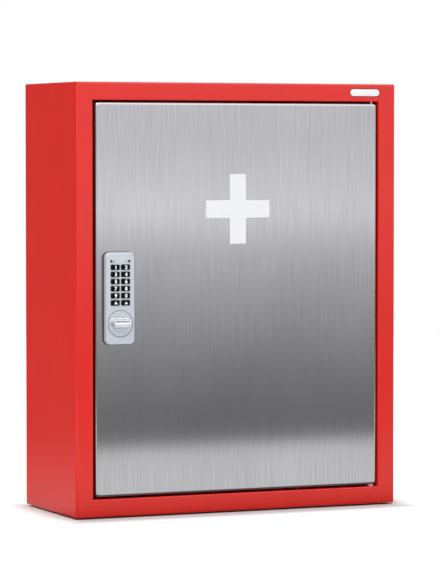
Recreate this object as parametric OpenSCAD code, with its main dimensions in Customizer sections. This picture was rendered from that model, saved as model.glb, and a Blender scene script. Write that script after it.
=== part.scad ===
// Lockable medicine cabinet: a folded steel wall cabinet with an inset
// stainless door that hangs on two pivot pins and carries a keypad lock.
//
// The model's frame: +X to the right, +Z up, and the door faces -Y. The origin
// is on the wall plane, in the middle of the four wall screws. Every part is
// drawn as it is seen from the front, with x right, y up and z out from the
// wall, and from_wall() turns it upright.

/* [Cabinet] */
// Width across the outside
cabinet_w = 400; // [340:5:600]
// Height over the outside
cabinet_h = 490; // [420:5:800]
// Depth from the wall to the front frame
cabinet_d = 160; // [140:5:300]
// Thickness of the cabinet's sheet steel
sheet_t = 1.2; // [1:0.1:2]
// Inside radius of every bend in the sheet steel
bend_r = 1.6; // [1:0.1:2]
// Width of the front frame's upright sides
frame_w = 21.5; // [18:0.5:40]
// Width of the front frame's top and bottom
frame_end_w = 20.5; // [18:0.5:40]
// Radius of the cabinet's long outer corners
corner_r = 2; // [1:0.5:2.5]

/* [Back] */
// Thickness of the back panel
back_t = 1; // [0.8:0.1:2]
// Height of the back panel's folded lip
back_lip = 12; // [8:1:20]
// Distance between the wall screws, across
wall_hole_pitch_x = 300; // [200:5:300]
// Distance between the wall screws, up and down
wall_hole_pitch_y = 380; // [300:5:390]
// Diameter of the wall screw holes
wall_hole_d = 8; // [5:0.5:12]

/* [Shelves] */
// Width of a slotted shelf rail
rail_w = 16; // [14:1:24]
// How far a rail stands off the side wall
rail_d = 6; // [5:0.5:10]
// Space between a rail's end and the cabinet's top or bottom
rail_end_space = 30; // [20:1:50]
// Distance between a rail's end and its first slot
slot_end_space = 15; // [10:1:30]
// Distance from one rail slot to the next
slot_pitch = 25; // [20:1:40]
// Length of a rail slot
slot_w = 10; // [8:0.5:11]
// Height of a rail slot
slot_h = 3; // [2.5:0.1:5]
// Slot that the lower shelf hangs in, counted from the bottom
lower_slot = 5; // [2:1:7]
// Slot that the upper shelf hangs in, counted from the bottom
upper_slot = 11; // [9:1:13]
// Thickness of a shelf
shelf_t = 1; // [0.8:0.1:2]
// Height of a shelf's folded front and rear lips
shelf_lip = 15; // [10:1:30]
// Space between a shelf and what is beside or behind it
shelf_gap = 1.5; // [1:0.5:5]
// Space between a shelf's front lip and the lock's battery box
shelf_front_space = 11; // [6:1:40]
// Thickness of a shelf clip
clip_t = 1.5; // [1:0.1:2]
// Length of a shelf clip's ledge
clip_ledge = 12; // [8:1:20]
// Length of a shelf clip's hook and of its leg
clip_leg = 5; // [3:0.5:8]

/* [Door] */
// How far the door sits behind the front of the frame
door_recess = 0; // [0:0.5:6]
// Gap at each side of the door
door_side_gap = 2.1; // [2:0.1:4]
// Gap over and under the door
door_end_gap = 2; // [1.8:0.1:4]
// Thickness of the whole door
door_d = 18; // [16:1:26]
// Thickness of the door's sheet steel
door_t = 1; // [0.8:0.1:1.5]
// Outside radius of the door's bent front edges
door_edge_r = 3; // [2:0.5:3.5]
// Radius of the door's corners, seen from the front
door_corner_r = 4; // [4:0.5:8]
// Height of the liner's folded lip
liner_lip = 10; // [6:1:14]
// Width of the stiffening channel's web
stiffener_w = 50; // [30:1:80]
// Width of each of the channel's flanges
stiffener_flange = 12; // [8:1:20]
// Distance from the door's middle to the stiffening channel
stiffener_offset = 30; // [0:1:60]
// Space between the channel's ends and the door's top and bottom
stiffener_end_space = 30; // [10:1:60]

/* [Door pivots] */
// Diameter of the pivot pins
pin_d = 3; // [3:0.1:3.4]
// Distance from the door's hinge edge to the pins
pin_inset = 5; // [4.6:0.1:6]
// Distance from the door's front face to the pins
pin_depth = 6; // [6:0.1:6.2]
// How far a pin reaches past the frame's return
pin_reach = 3; // [2:0.5:6]
// Length of the lower pin inside the door
pin_hold = 18; // [10:1:30]
// Length of the upper, spring-loaded pin
top_pin_l = 30; // [24:1:40]
// Running clearance of a pin, on the radius
pin_clear = 0.08; // [0.05:0.01:0.1]
// Wall of the pivot bushes
bush_wall = 1.2; // [0.9:0.1:1.2]
// Overhang of the upper bush's flange
bush_flange_r = 0.4; // [0.2:0.1:0.4]
// Overhang of the lower bush's flange
bush_foot_r = 0.8; // [0.4:0.1:1.5]
// Thickness of the flange on the upper bush
bush_flange_t = 1; // [0.8:0.1:2]
// Clearance between the lower bush and the door that stands on it
bush_gap = 0.3; // [0.2:0.1:0.8]
// Width of the pivot blocks
block_w = 12.5; // [11:0.5:16]
// Height of the lower pivot block
block_h = 25; // [20:1:40]
// Diameter of the release tab on the upper pin
tab_d = 2.4; // [2.2:0.1:2.6]
// How far the release tab stands out of the liner
tab_reach = 6; // [4:0.5:9]
// Wire diameter of the pin's spring
spring_wire = 0.5; // [0.4:0.1:0.6]
// Length of the pin's spring at rest
spring_l = 16; // [12:1:25]
// Number of turns in the pin's spring
spring_turns = 7; // [5:1:9]

/* [Door stops] */
// Distance from the door's top and bottom to the stops
stop_from_end = 60; // [30:1:100]
// Length of a stop, up and down
stop_l = 20; // [12:1:40]
// How far a stop reaches into the doorway
stop_reach = 12; // [10:1:20]
// Diameter of the rubber buffers
buffer_d = 8; // [5:0.5:8]
// Height of the rubber buffers
buffer_h = 3; // [1.5:0.5:6]
// Space between a buffer and the closed door
buffer_gap = 0.3; // [0.2:0.1:1]

/* [Lock] */
// Distance from the door's free edge to the lock's centre line
lock_inset = 26.9; // [24:0.1:50]
// Height of the lock's centre over the door's centre
lock_rise = 2; // [-60:0.5:60]
// Width of the lock
lock_w = 35; // [35:0.5:42]
// Height of the lock
lock_h = 103.5; // [103:0.5:115]
// How far the lock stands out from the door
lock_proud = 8; // [8:0.5:14]
// Radius of the lock's corners, seen from the front
lock_corner_r = 6; // [4:0.5:8]
// Radius of the lock's front edge
lock_edge_r = 1.5; // [0.5:0.25:1.75]
// Wall of the lock's housing
lock_wall = 2; // [1.8:0.1:2.2]
// Thickness of the gasket under the lock
gasket_t = 1.5; // [0.8:0.1:1.8]
// How far the gasket shows past the lock
gasket_rim = 0.6; // [0.2:0.1:1.5]
// Diameter of the two fixing screws
screw_d = 3.5; // [3:0.1:3.6]
// Distance between the two fixing screws
screw_pitch = 94; // [93:0.5:95]
// Diameter of a fixing screw's head
screw_head_d = 6.8; // [5.5:0.1:7]
// Height of a fixing screw's head
screw_head_h = 2.4; // [1.5:0.1:3]

/* [Keypad] */
// Width of a key
key_w = 10.5; // [9:0.1:10.8]
// Height of a key
key_h = 5.9; // [5:0.1:6.2]
// Distance between the two columns of keys
key_pitch_x = 12.5; // [12.2:0.1:12.8]
// Distance between the rows of keys
key_pitch_y = 8; // [7.8:0.1:8.2]
// Height of the first row over the lock's centre
key_first = 35; // [34:0.5:35.5]
// How far a key stands out of the lock's face
key_proud = 1; // [0.9:0.1:1.5]
// How far a key travels when it is pressed
key_travel = 0.8; // [0.5:0.1:0.8]
// Clearance round a key
key_gap = 0.2; // [0.15:0.05:0.3]
// Overhang of a key's retaining rim
key_rim = 0.55; // [0.4:0.05:0.6]
// Thickness of a key's retaining rim
key_rim_t = 0.8; // [0.6:0.1:1]
// Thickness of the rubber mat under the keys
mat_t = 1.2; // [0.8:0.1:1.4]
// Thickness of the circuit board
board_t = 1.6; // [1:0.1:1.6]
// Diameter of the two lamps
lamp_d = 2.4; // [1.5:0.1:3]
// Distance between the two lamps
lamp_pitch = 21.6; // [18:0.1:23]
// Height of the lamps over the lock's centre
lamp_rise = 41.75; // [41.5:0.25:42]

/* [Knob and cam] */
// Diameter of the knob's disc
knob_d = 30; // [26:0.5:30.4]
// Thickness of the knob's disc
knob_t = 5; // [4:0.25:5]
// How far the disc stands out of the lock's face
knob_proud = 0.6; // [0.2:0.1:1]
// Distance from the lock's centre down to the knob
knob_drop = 28.5; // [28:0.25:29]
// Clearance round and behind the disc
knob_gap = 0.3; // [0.2:0.05:0.4]
// Length of the grip at its foot
grip_l = 23; // [18:0.5:26]
// Width of the grip at its foot
grip_w = 12.5; // [9:0.5:14]
// Height of the grip
grip_h = 8.5; // [6:0.5:12]
// Slope of the grip's flanks, from foot to front
grip_slope = 2.4; // [1:0.1:3]
// Diameter of the spindle
spindle_d = 8; // [7:0.5:8]
// Running clearance of the spindle, on the radius
spindle_clear = 0.08; // [0.05:0.01:0.1]
// Width of the square on the spindle's end
spindle_square = 5.4; // [4.5:0.1:5.6]
// Outside diameter of the tube round the spindle
tube_d = 12; // [11:0.5:13]
// Thickness of the cam
cam_t = 2.5; // [2:0.1:4]
// Width of the cam's arm
cam_w = 12; // [10:0.5:16]
// Diameter of the cam's hub
cam_hub_d = 18; // [16:0.5:20]
// How far the cam reaches behind the frame's return
cam_bite = 9.5; // [6:0.5:10]
// Clearance between the turning cam and the lock case
cam_gap = 0.6; // [0.3:0.1:1]
// Space between the locked cam and the frame's return
latch_gap = 1.6; // [1:0.1:3]
// Diameter of the cam screw's head
cam_screw_head_d = 9; // [8:0.5:10]
// Height of the cam screw's head
cam_screw_head_h = 2.4; // [2:0.1:3]
// Diameter of the cam screw's shank
cam_screw_d = 3.6; // [3:0.1:3.8]
// Length of the cam screw's shank
cam_screw_l = 12; // [8:1:16]

/* [Lock case] */
// Width of the case behind the door
case_w = 30; // [29:0.5:34]
// Height of the case
case_h = 102; // [101:0.5:106]
// Depth of the case behind the door
case_d = 9; // [8:0.5:12]
// Height of the battery box
box_h = 51; // [50:0.5:52]
// Depth of the battery box behind the door
box_d = 22; // [20:0.5:26]
// Wall of the battery box
box_wall = 2; // [1.5:0.1:2.2]
// Thickness of the battery cover
cover_t = 1.8; // [1.2:0.1:2.5]
// Diameter of a battery
battery_d = 10.5; // [9:0.5:10.5]
// Room at each end of a battery
cell_end_gap = 1.25; // [1:0.05:2]

/* [Hidden] */
$fn = 48;

// How far a cutting tool runs past the face it cuts
cut = 1;
// Clearance of a fitted pin or shank, on the radius
fit_gap = 0.03;
// Clearance of a screw in a plain hole, on the radius
hole_gap = 0.25;
// Running space between flat faces that move past each other
slide_gap = 0.1;
// Outside radius of a bend in the cabinet's sheet
fold_r = sheet_t + bend_r;

// Edge distance that small parts keep from what they sit beside
edge_gap = 2;

// The doorway and the door
doorway_w = cabinet_w - 2 * frame_w;
doorway_h = cabinet_h - 2 * frame_end_w;
door_w = doorway_w - 2 * door_side_gap;
door_h = doorway_h - 2 * door_end_gap;

// Distances from the wall
door_front = cabinet_d - door_recess;
door_rear = door_front - door_d;
case_rear = door_rear - case_d;
box_rear = door_rear - box_d;
cam_front = case_rear - cam_gap;
cam_rear = cam_front - cam_t;
return_rear = cam_front + latch_gap;
skin_inside = door_front - door_t;
liner_inside = door_rear + door_t;

// Room inside the cabinet
inner_w = cabinet_w - 2 * sheet_t;
inner_h = cabinet_h - 2 * sheet_t;

// Shelf rails and shelves
rail_l = cabinet_h - 2 * rail_end_space;
slot_count = floor((rail_l - 2 * slot_end_space) / slot_pitch) + 1;
slot_0 = -rail_l / 2 + slot_end_space;
shelf_rear = back_t + shelf_gap;
shelf_front = box_rear - shelf_front_space;
shelf_w = inner_w - 2 * rail_d - 2 * shelf_gap;
clip_side_gap = 0.5;
rail_rear_z = back_lip + rail_w / 2 + edge_gap;
rail_front_z = shelf_front - rail_w / 2 - 2 * edge_gap;
clip_w = slot_w - 2 * clip_side_gap;
clip_play = 0.2;

// Door pivots
pin_x = door_w / 2 - pin_inset;
pin_z = door_front - pin_depth;
pin_r = pin_d / 2;
pin_tip = doorway_h / 2 + sheet_t + pin_reach;
pin_sunk = 0.3;
pin_travel = pin_tip - door_h / 2 + pin_sunk;
bush_r = pin_r + pin_clear + bush_wall;
liner_fold = door_corner_r;
block_right = door_w / 2 - 2 * door_t;
block_end = door_h / 2 - 2 * door_t;
block_rear = door_rear + liner_fold;
block_edge = door_edge_r - door_t;
block_floor = 3;
tab_step = 0.5;
spring_foot = pin_tip - top_pin_l - spring_l;
block_top_h = block_end - spring_foot + block_floor;
tab_y = pin_tip - top_pin_l / 2 - 2 * edge_gap;
tab_pin_r = tab_d / 2 - tab_step;

// Lock, from the front of the door outwards
lock_x = -door_w / 2 + lock_inset;
lock_y = lock_rise;
knob_y = lock_y - knob_drop;
lock_face = door_front + lock_proud;
lock_base = door_front + gasket_t;
face_inside = lock_face - lock_wall;
rim_front = face_inside - slide_gap;
rim_rear = rim_front - key_rim_t;
mat_front = rim_rear - key_travel - slide_gap;
board_front = mat_front - mat_t;
board_rear = board_front - board_t;
knob_front = lock_face + knob_proud;
knob_rear = knob_front - knob_t;
knob_floor = knob_rear - knob_gap;
floor_lift = 0.5;
floor_rear = lock_base + floor_lift;
key_rows = 6;
key_corner_r = 1;
key_edge_r = 0.5;
mat_corner_r = 2;
lamp_edge = 1.6;
board_gap = 1.5;
board_w = lock_w - 2 * lock_wall - 2 * board_gap;
board_top = lamp_rise + lamp_edge;
board_bottom = key_first - (key_rows - 0.5) * key_pitch_y;
board_h = board_top - board_bottom;
board_mid = (board_top + board_bottom) / 2;
lead_w = 8;
lead_t = 0.8;
lead_rise = 10;
lead_y = lock_y + lead_rise;
lead_gap = 0.5;

// Lock, behind the door
case_floor = 2;
tube_foot = case_rear + case_floor;
head_sunk = 0.6;
head_seat = case_rear + head_sunk + screw_head_h;
boss_wall = 1;
boss_r = screw_d / 2 + boss_wall;
boss_depth = 1;
screw_end_gap = 0.5;
tube_flange = 2;
case_corner_r = 4;
case_edge_r = 1;
box_corner_r = 3;
box_drop = 9;
boss_web = (lock_h - screw_pitch) / 2 - lock_wall / 2;
box_top = case_h / 2 - box_drop;
box_mid = box_top - box_h / 2;
cell_gap = 0.3;
cell_pocket_w = 2 * battery_d + 3 * cell_gap;
cell_pocket_h = box_h - 2 * box_wall;
battery_l = cell_pocket_h - 2 * cell_end_gap;
cell_z = box_rear + cover_t + cell_gap + battery_d / 2;
cam_l = lock_inset + door_side_gap + cam_bite;
socket_depth = 3;
lid_rim = 1;
lid_end_rim = 0.6;
lid_corner_r = 1.5;
lid_gap = 0.15;
groove_l = 10;
groove_w = 1.2;
groove_depth = 0.6;
groove_pitch = 3;
groove_from_end = 8;
cam_screw_end_gap = 1;
block_flank = 0.5;

// ------------------------------------------------------------ shared shapes

// Turns what is drawn from the front (x right, y up, z out) upright
module from_wall() {
    rotate([90, 0, 0]) children();
}

module rounded_rect(w, h, r) {
    square([w - 2 * r, h], center = true);
    square([w, h - 2 * r], center = true);
    for (x = [-1, 1], y = [-1, 1])
        translate([x * (w / 2 - r), y * (h / 2 - r)]) circle(r);
}

// A quarter of a ring, for a bend of inside radius r in sheet t thick
module quarter_bend(t, r, turn) {
    rotate(turn) intersection() {
        difference() {
            circle(r + t);
            circle(r);
        }
        square(r + t);
    }
}

// Section of a rounded block from its corner's axis outwards
module block_section(corner, depth, edge) {
    square([corner, depth - edge]);
    square([corner - edge, depth]);
    translate([corner - edge, depth - edge]) intersection() {
        circle(edge);
        square(edge);
    }
}

// A block with rounded corners and a rounded edge round its front face
module round_block(w, h, depth, corner, edge) {
    straight_w = w - 2 * corner;
    straight_h = h - 2 * corner;
    translate([-straight_w / 2, -straight_h / 2, 0]) cube([straight_w, straight_h, depth]);
    for (side = [0, 1]) {
        for (end = [0, 180]) {
            rotate(end + 90 * side)
                translate([0, (side == 0 ? straight_h : straight_w) / 2, 0])
                    rotate([90, 0, 90])
                        linear_extrude(side == 0 ? straight_w : straight_h, center = true)
                            block_section(corner, depth, edge);
        }
    }
    for (k = [0:3]) {
        sx = (k == 0 || k == 3) ? 1 : -1;
        sy = (k < 2) ? 1 : -1;
        translate([sx * straight_w / 2, sy * straight_h / 2, 0])
            rotate(90 * k)
                rotate_extrude(angle = 90) block_section(corner, depth, edge);
    }
}

// Section of a folded lip, from the flat sheet's edge outwards
module lip_section(lip, t, r) {
    translate([0, t + r]) quarter_bend(t, r, -90);
    translate([r, t + r]) square([t, lip - t - r]);
}

module folded_lip(length, lip, t, r) {
    rotate([90, 0, 90]) linear_extrude(length, center = true) lip_section(lip, t, r);
}

// A sheet with folded lips that rise along +z; a lip of 0 leaves that edge flat
module folded_pan(w, h, side_lip, end_lip, t, r) {
    flat_w = w - (side_lip > 0 ? 2 * (t + r) : 0);
    flat_h = h - (end_lip > 0 ? 2 * (t + r) : 0);
    translate([-flat_w / 2, -flat_h / 2, 0]) cube([flat_w, flat_h, t]);
    if (end_lip > 0)
        for (turn = [0, 180])
            rotate(turn) translate([0, flat_h / 2, 0]) folded_lip(flat_w, end_lip, t, r);
    if (side_lip > 0)
        for (turn = [90, 270])
            rotate(turn) translate([0, flat_w / 2, 0]) folded_lip(flat_h, side_lip, t, r);
}

// An upright cylinder that starts at y
module post(x, y, z, r, length) {
    translate([x, y, z]) rotate([-90, 0, 0]) cylinder(h = length, r = r);
}

// ------------------------------------------------------------------ cabinet

// Section of a box with rounded front edges; centred on x, from y = rear out
module rounded_section(across, rear, front, r) {
    translate([-across / 2, rear]) square([across, front - rear - r]);
    translate([-across / 2 + r, rear]) square([across - 2 * r, front - rear]);
    for (side = [-1, 1])
        translate([side * (across / 2 - r), front - r]) circle(r);
}

// Section of an opening whose front edges curve outwards
module flared_section(across, rear, front, r) {
    translate([-across / 2, rear]) square([across, front - rear]);
    difference() {
        translate([-across / 2 - r, front - r]) square([across + 2 * r, r + cut]);
        for (side = [-1, 1])
            translate([side * (across / 2 + r), front - r]) circle(r);
    }
}

// A box centred on x and y whose four front edges are rounded
module rounded_box(w, h, rear, front, r) {
    intersection() {
        rotate([90, 0, 90]) linear_extrude(w, center = true)
            rounded_section(h, rear, front, r);
        rotate([90, 0, 0]) linear_extrude(h, center = true)
            rounded_section(w, rear, front, r);
    }
}

// An opening centred on x and y whose four front edges curve outwards
module flared_box(w, h, rear, front, r) {
    intersection() {
        rotate([90, 0, 90]) linear_extrude(w + 2 * r + 2 * cut, center = true)
            flared_section(h, rear, front, r);
        rotate([90, 0, 0]) linear_extrude(h + 2 * r + 2 * cut, center = true)
            flared_section(w, rear, front, r);
    }
}

module carcass() {
    color("firebrick") from_wall() difference() {
        intersection() {
            rounded_box(cabinet_w, cabinet_h, 0, cabinet_d, fold_r);
            translate([0, 0, -cut]) linear_extrude(cabinet_d + 2 * cut)
                rounded_rect(cabinet_w, cabinet_h, corner_r);
        }
        // the room inside, all but the return round the doorway
        difference() {
            rounded_box(inner_w, inner_h, -cut, cabinet_d - sheet_t, bend_r);
            flared_box(doorway_w + 2 * sheet_t, doorway_h + 2 * sheet_t, return_rear,
                       cabinet_d - sheet_t, bend_r);
        }
        flared_box(doorway_w, doorway_h, return_rear - cut, cabinet_d, fold_r);
        for (side = [-1, 1])
            post(pin_x, side * doorway_h / 2 - (side > 0 ? cut : sheet_t + cut), pin_z,
                 bush_r + fit_gap, sheet_t + 2 * cut);
    }
}

module back_panel() {
    color("firebrick") from_wall() difference() {
        folded_pan(inner_w, inner_h, back_lip, back_lip, back_t, bend_r);
        for (x = [-1, 1], y = [-1, 1])
            translate([x * wall_hole_pitch_x / 2, y * wall_hole_pitch_y / 2, -cut])
                cylinder(h = back_t + 2 * cut, d = wall_hole_d);
    }
}

// A slotted rail; side is -1 for the left wall and 1 for the right
module shelf_rail(side, z) {
    color("firebrick") from_wall() translate([side * inner_w / 2, 0, z])
        scale([-side, 1, 1]) difference() {
            rotate([90, 0, 0]) linear_extrude(rail_l, center = true) {
                translate([rail_d - sheet_t, -rail_w / 2]) square([sheet_t, rail_w]);
                for (edge = [-rail_w / 2, rail_w / 2 - sheet_t])
                    translate([0, edge]) square([rail_d, sheet_t]);
            }
            for (i = [0:slot_count - 1])
                translate([rail_d - sheet_t - cut, slot_0 + i * slot_pitch, -slot_w / 2])
                    cube([sheet_t + 2 * cut, slot_h, slot_w]);
        }
}

// One clip: a ledge through the slot, a hook behind it and a leg before it
module shelf_clip() {
    linear_extrude(clip_w, center = true) {
        translate([rail_d - sheet_t - clip_play - clip_t, 0])
            square([clip_ledge + sheet_t + clip_play + clip_t, clip_t]);
        translate([rail_d - sheet_t - clip_play - clip_t, 0]) square([clip_t, clip_t + clip_leg]);
        translate([rail_d + clip_play, -clip_leg]) square([clip_t, clip_t + clip_leg]);
    }
}

module shelf_clips() {
    color("silver") from_wall()
        for (side = [-1, 1], slot = [lower_slot, upper_slot], z = [rail_rear_z, rail_front_z])
            translate([side * inner_w / 2, slot_0 + slot * slot_pitch, z])
                scale([-side, 1, 1]) shelf_clip();
}

module shelf(slot) {
    depth = shelf_front - shelf_rear;
    color("gainsboro") from_wall()
        translate([0, slot_0 + slot * slot_pitch + clip_t + shelf_t, shelf_rear + depth / 2])
            rotate([90, 0, 0]) folded_pan(shelf_w, depth, 0, shelf_lip, shelf_t, bend_r);
}

module pivot_bush_top() {
    color("ivory") from_wall() difference() {
        union() {
            post(pin_x, doorway_h / 2, pin_z, bush_r, sheet_t + bush_flange_t);
            post(pin_x, doorway_h / 2 + sheet_t, pin_z, bush_r + bush_flange_r, bush_flange_t);
        }
        post(pin_x, doorway_h / 2 - cut, pin_z, pin_r + pin_clear,
             sheet_t + bush_flange_t + 2 * cut);
    }
}

module pivot_bush_bottom() {
    flange_t = door_end_gap - bush_gap;
    foot = -doorway_h / 2 - sheet_t;
    color("ivory") from_wall() difference() {
        union() {
            post(pin_x, foot, pin_z, bush_r, sheet_t + flange_t);
            post(pin_x, -doorway_h / 2, pin_z, bush_r + bush_foot_r, flange_t);
        }
        post(pin_x, foot - cut, pin_z, pin_r + pin_clear, sheet_t + flange_t + 2 * cut);
    }
}

// Angle stops on the lock side's return, which the closed door rests against
module door_stops() {
    shelf_z = door_rear - buffer_gap - buffer_h;
    color("firebrick") from_wall()
        for (side = [-1, 1])
            translate([-doorway_w / 2, side * (door_h / 2 - stop_from_end) - stop_l / 2, 0]) {
                translate([0, 0, shelf_z - sheet_t]) cube([stop_reach, stop_l, sheet_t]);
                translate([0, 0, return_rear]) cube([sheet_t, stop_l, shelf_z - return_rear]);
            }
}

module door_buffers() {
    color("dimgray") from_wall()
        for (side = [-1, 1])
            translate([-doorway_w / 2 + stop_reach - buffer_d / 2,
                       side * (door_h / 2 - stop_from_end),
                       door_rear - buffer_gap - buffer_h])
                cylinder(h = buffer_h, d = buffer_d);
}

// --------------------------------------------------------------------- door

// Holes through the door for the lock's screws, tube and battery lead
module lock_holes(z, depth) {
    translate([lock_x, 0, z]) {
        for (side = [-1, 1])
            translate([0, lock_y + side * screw_pitch / 2, 0])
                cylinder(h = depth, r = screw_d / 2 + hole_gap);
        translate([0, knob_y, 0]) cylinder(h = depth, r = tube_d / 2 + hole_gap);
        translate([-lead_w / 2 - 2 * lead_gap, lead_y - lead_t / 2 - 2 * lead_gap, 0])
            cube([lead_w + 4 * lead_gap, lead_t + 4 * lead_gap, depth]);
    }
}

module door_skin() {
    color("lightgray") from_wall() difference() {
        translate([0, 0, door_rear])
            round_block(door_w, door_h, door_d, door_corner_r, door_edge_r);
        translate([0, 0, door_rear - cut])
            round_block(door_w - 2 * door_t, door_h - 2 * door_t, door_d - door_t + cut,
                        door_corner_r - door_t, door_edge_r - door_t);
        lock_holes(skin_inside - cut, door_t + 2 * cut);
        post(pin_x, -door_h / 2 - cut, pin_z, pin_r + hole_gap, door_h + 2 * cut);
    }
}

module door_liner() {
    color("silver") from_wall() difference() {
        translate([0, 0, door_rear])
            folded_pan(door_w - 2 * door_t, door_h - 2 * door_t,
                       liner_lip, liner_lip, door_t, liner_fold - door_t);
        lock_holes(door_rear - cut, door_t + 2 * cut);
        // slot that the release tab runs in
        translate([pin_x - tab_d / 2 - hole_gap, tab_y - pin_travel - tab_d / 2 - hole_gap,
                   door_rear - cut])
            cube([tab_d + 2 * hole_gap, pin_travel + tab_d + 2 * hole_gap, door_t + 2 * cut]);
        // clear of the pivot pins, where the folded lips reach them
        post(pin_x, -door_h / 2 - cut, pin_z, pin_r + hole_gap, door_h + 2 * cut);
    }
}

module door_stiffener() {
    depth = skin_inside - liner_inside;
    color("silver") from_wall()
        translate([stiffener_offset, 0, liner_inside])
            rotate([90, 0, 0])
                linear_extrude(door_h - 2 * stiffener_end_space, center = true) {
                    translate([-stiffener_w / 2, depth - door_t]) square([stiffener_w, door_t]);
                    for (side = [-1, 1]) {
                        translate([side * (stiffener_w - door_t) / 2 - door_t / 2, 0])
                            square([door_t, depth]);
                        translate([side * (stiffener_w + stiffener_flange - door_t) / 2
                                       - (stiffener_flange + door_t) / 2, 0])
                            square([stiffener_flange + door_t, door_t]);
                    }
                }
}

// The block that carries a pivot pin: it stands clear of the liner's folded
// lips, and its rounded front edges seat inside the skin's bent ones
module pivot_block(height) {
    translate([block_right - block_w / 2, block_end - height / 2, block_rear])
        round_block(block_w, height, skin_inside - block_rear, block_edge + block_flank,
                    block_edge);
}

module pivot_block_top() {
    slot_x = tab_d / 2 + hole_gap;
    slot_low = tab_y - pin_travel - tab_d / 2 - hole_gap;
    color("gray") from_wall() difference() {
        pivot_block(block_top_h);
        post(pin_x, spring_foot, pin_z, pin_r + pin_clear, block_top_h + cut);
        translate([pin_x - slot_x, slot_low, block_rear - cut])
            cube([2 * slot_x, pin_travel + tab_d + 2 * hole_gap, pin_z - block_rear + cut]);
    }
}

module pivot_block_bottom() {
    color("gray") from_wall() difference() {
        mirror([0, 1, 0]) pivot_block(block_h);
        post(pin_x, -block_end - cut, pin_z, pin_r + fit_gap, pin_hold + cut);
    }
}

module pivot_pin_bottom() {
    color("silver") from_wall()
        post(pin_x, -pin_tip, pin_z, pin_r, pin_tip - block_end + pin_hold);
}

module pivot_pin_top() {
    color("silver") from_wall() difference() {
        post(pin_x, pin_tip - top_pin_l, pin_z, pin_r, top_pin_l);
        translate([pin_x, tab_y, 0]) cylinder(h = pin_z + pin_r / 2, r = tab_pin_r + fit_gap);
    }
}

// A short pin across the upper pivot pin, with a wider grip behind the door
module release_tab() {
    color("silver") from_wall() translate([pin_x, tab_y, 0]) {
        translate([0, 0, liner_inside]) cylinder(h = pin_z + pin_r / 2 - liner_inside,
                                                 r = tab_pin_r);
        translate([0, 0, door_rear - tab_reach])
            cylinder(h = tab_reach + door_t, r = tab_d / 2);
    }
}

function ring_at(angle, height, coil_r, wire_r, sides) = [
    for (k = [0:sides - 1])
        let (a = 360 * k / sides, r = coil_r + wire_r * cos(a))
        [r * cos(angle), r * sin(angle), height + wire_r * sin(a)]];

// A coil spring along z, swept as one closed solid
module coil_spring(coil_r, wire_r, length, turns) {
    sides = 6;
    steps = turns * 12;
    points = [for (i = [0:steps])
        each ring_at(i * 360 / 12, wire_r + (length - 2 * wire_r) * i / steps,
                     coil_r, wire_r, sides)];
    walls = [for (i = [0:steps - 1], k = [0:sides - 1])
        let (a = i * sides + k, b = i * sides + (k + 1) % sides)
        [a, a + sides, b + sides, b]];
    polyhedron(points = points,
               faces = concat(walls,
                              [[for (k = [0:sides - 1]) k]],
                              [[for (k = [sides - 1:-1:0]) steps * sides + k]]),
               convexity = 8);
}

module pivot_spring() {
    wire_r = spring_wire / 2;
    color("darkgray") from_wall()
        translate([pin_x, spring_foot + slide_gap, pin_z]) rotate([-90, 0, 0])
            coil_spring(pin_r - wire_r - slide_gap, wire_r, spring_l - 2 * slide_gap,
                        spring_turns);
}

// --------------------------------------------------------------------- lock

// Where key i of 12 sits, counted along the rows from the top left
function key_x(i) = lock_x + ((i - 1) % 2 - 0.5) * key_pitch_x;
function key_y(i) = lock_y + key_first - floor((i - 1) / 2) * key_pitch_y;

module lock_gasket() {
    color("black") from_wall() difference() {
        translate([lock_x, lock_y, door_front])
            linear_extrude(gasket_t)
                rounded_rect(lock_w + 2 * gasket_rim, lock_h + 2 * gasket_rim,
                             lock_corner_r + gasket_rim);
        translate([lock_x, lock_y, door_front - cut])
            linear_extrude(gasket_t + 2 * cut)
                rounded_rect(lock_w - 2 * lock_wall, lock_h - 2 * lock_wall,
                             lock_corner_r - lock_wall);
    }
}

// The hollow inside of the housing, from z up to z + depth
module housing_room(z, depth) {
    translate([lock_x, lock_y, z]) linear_extrude(depth)
        rounded_rect(lock_w - 2 * lock_wall, lock_h - 2 * lock_wall, lock_corner_r - lock_wall);
}

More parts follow.
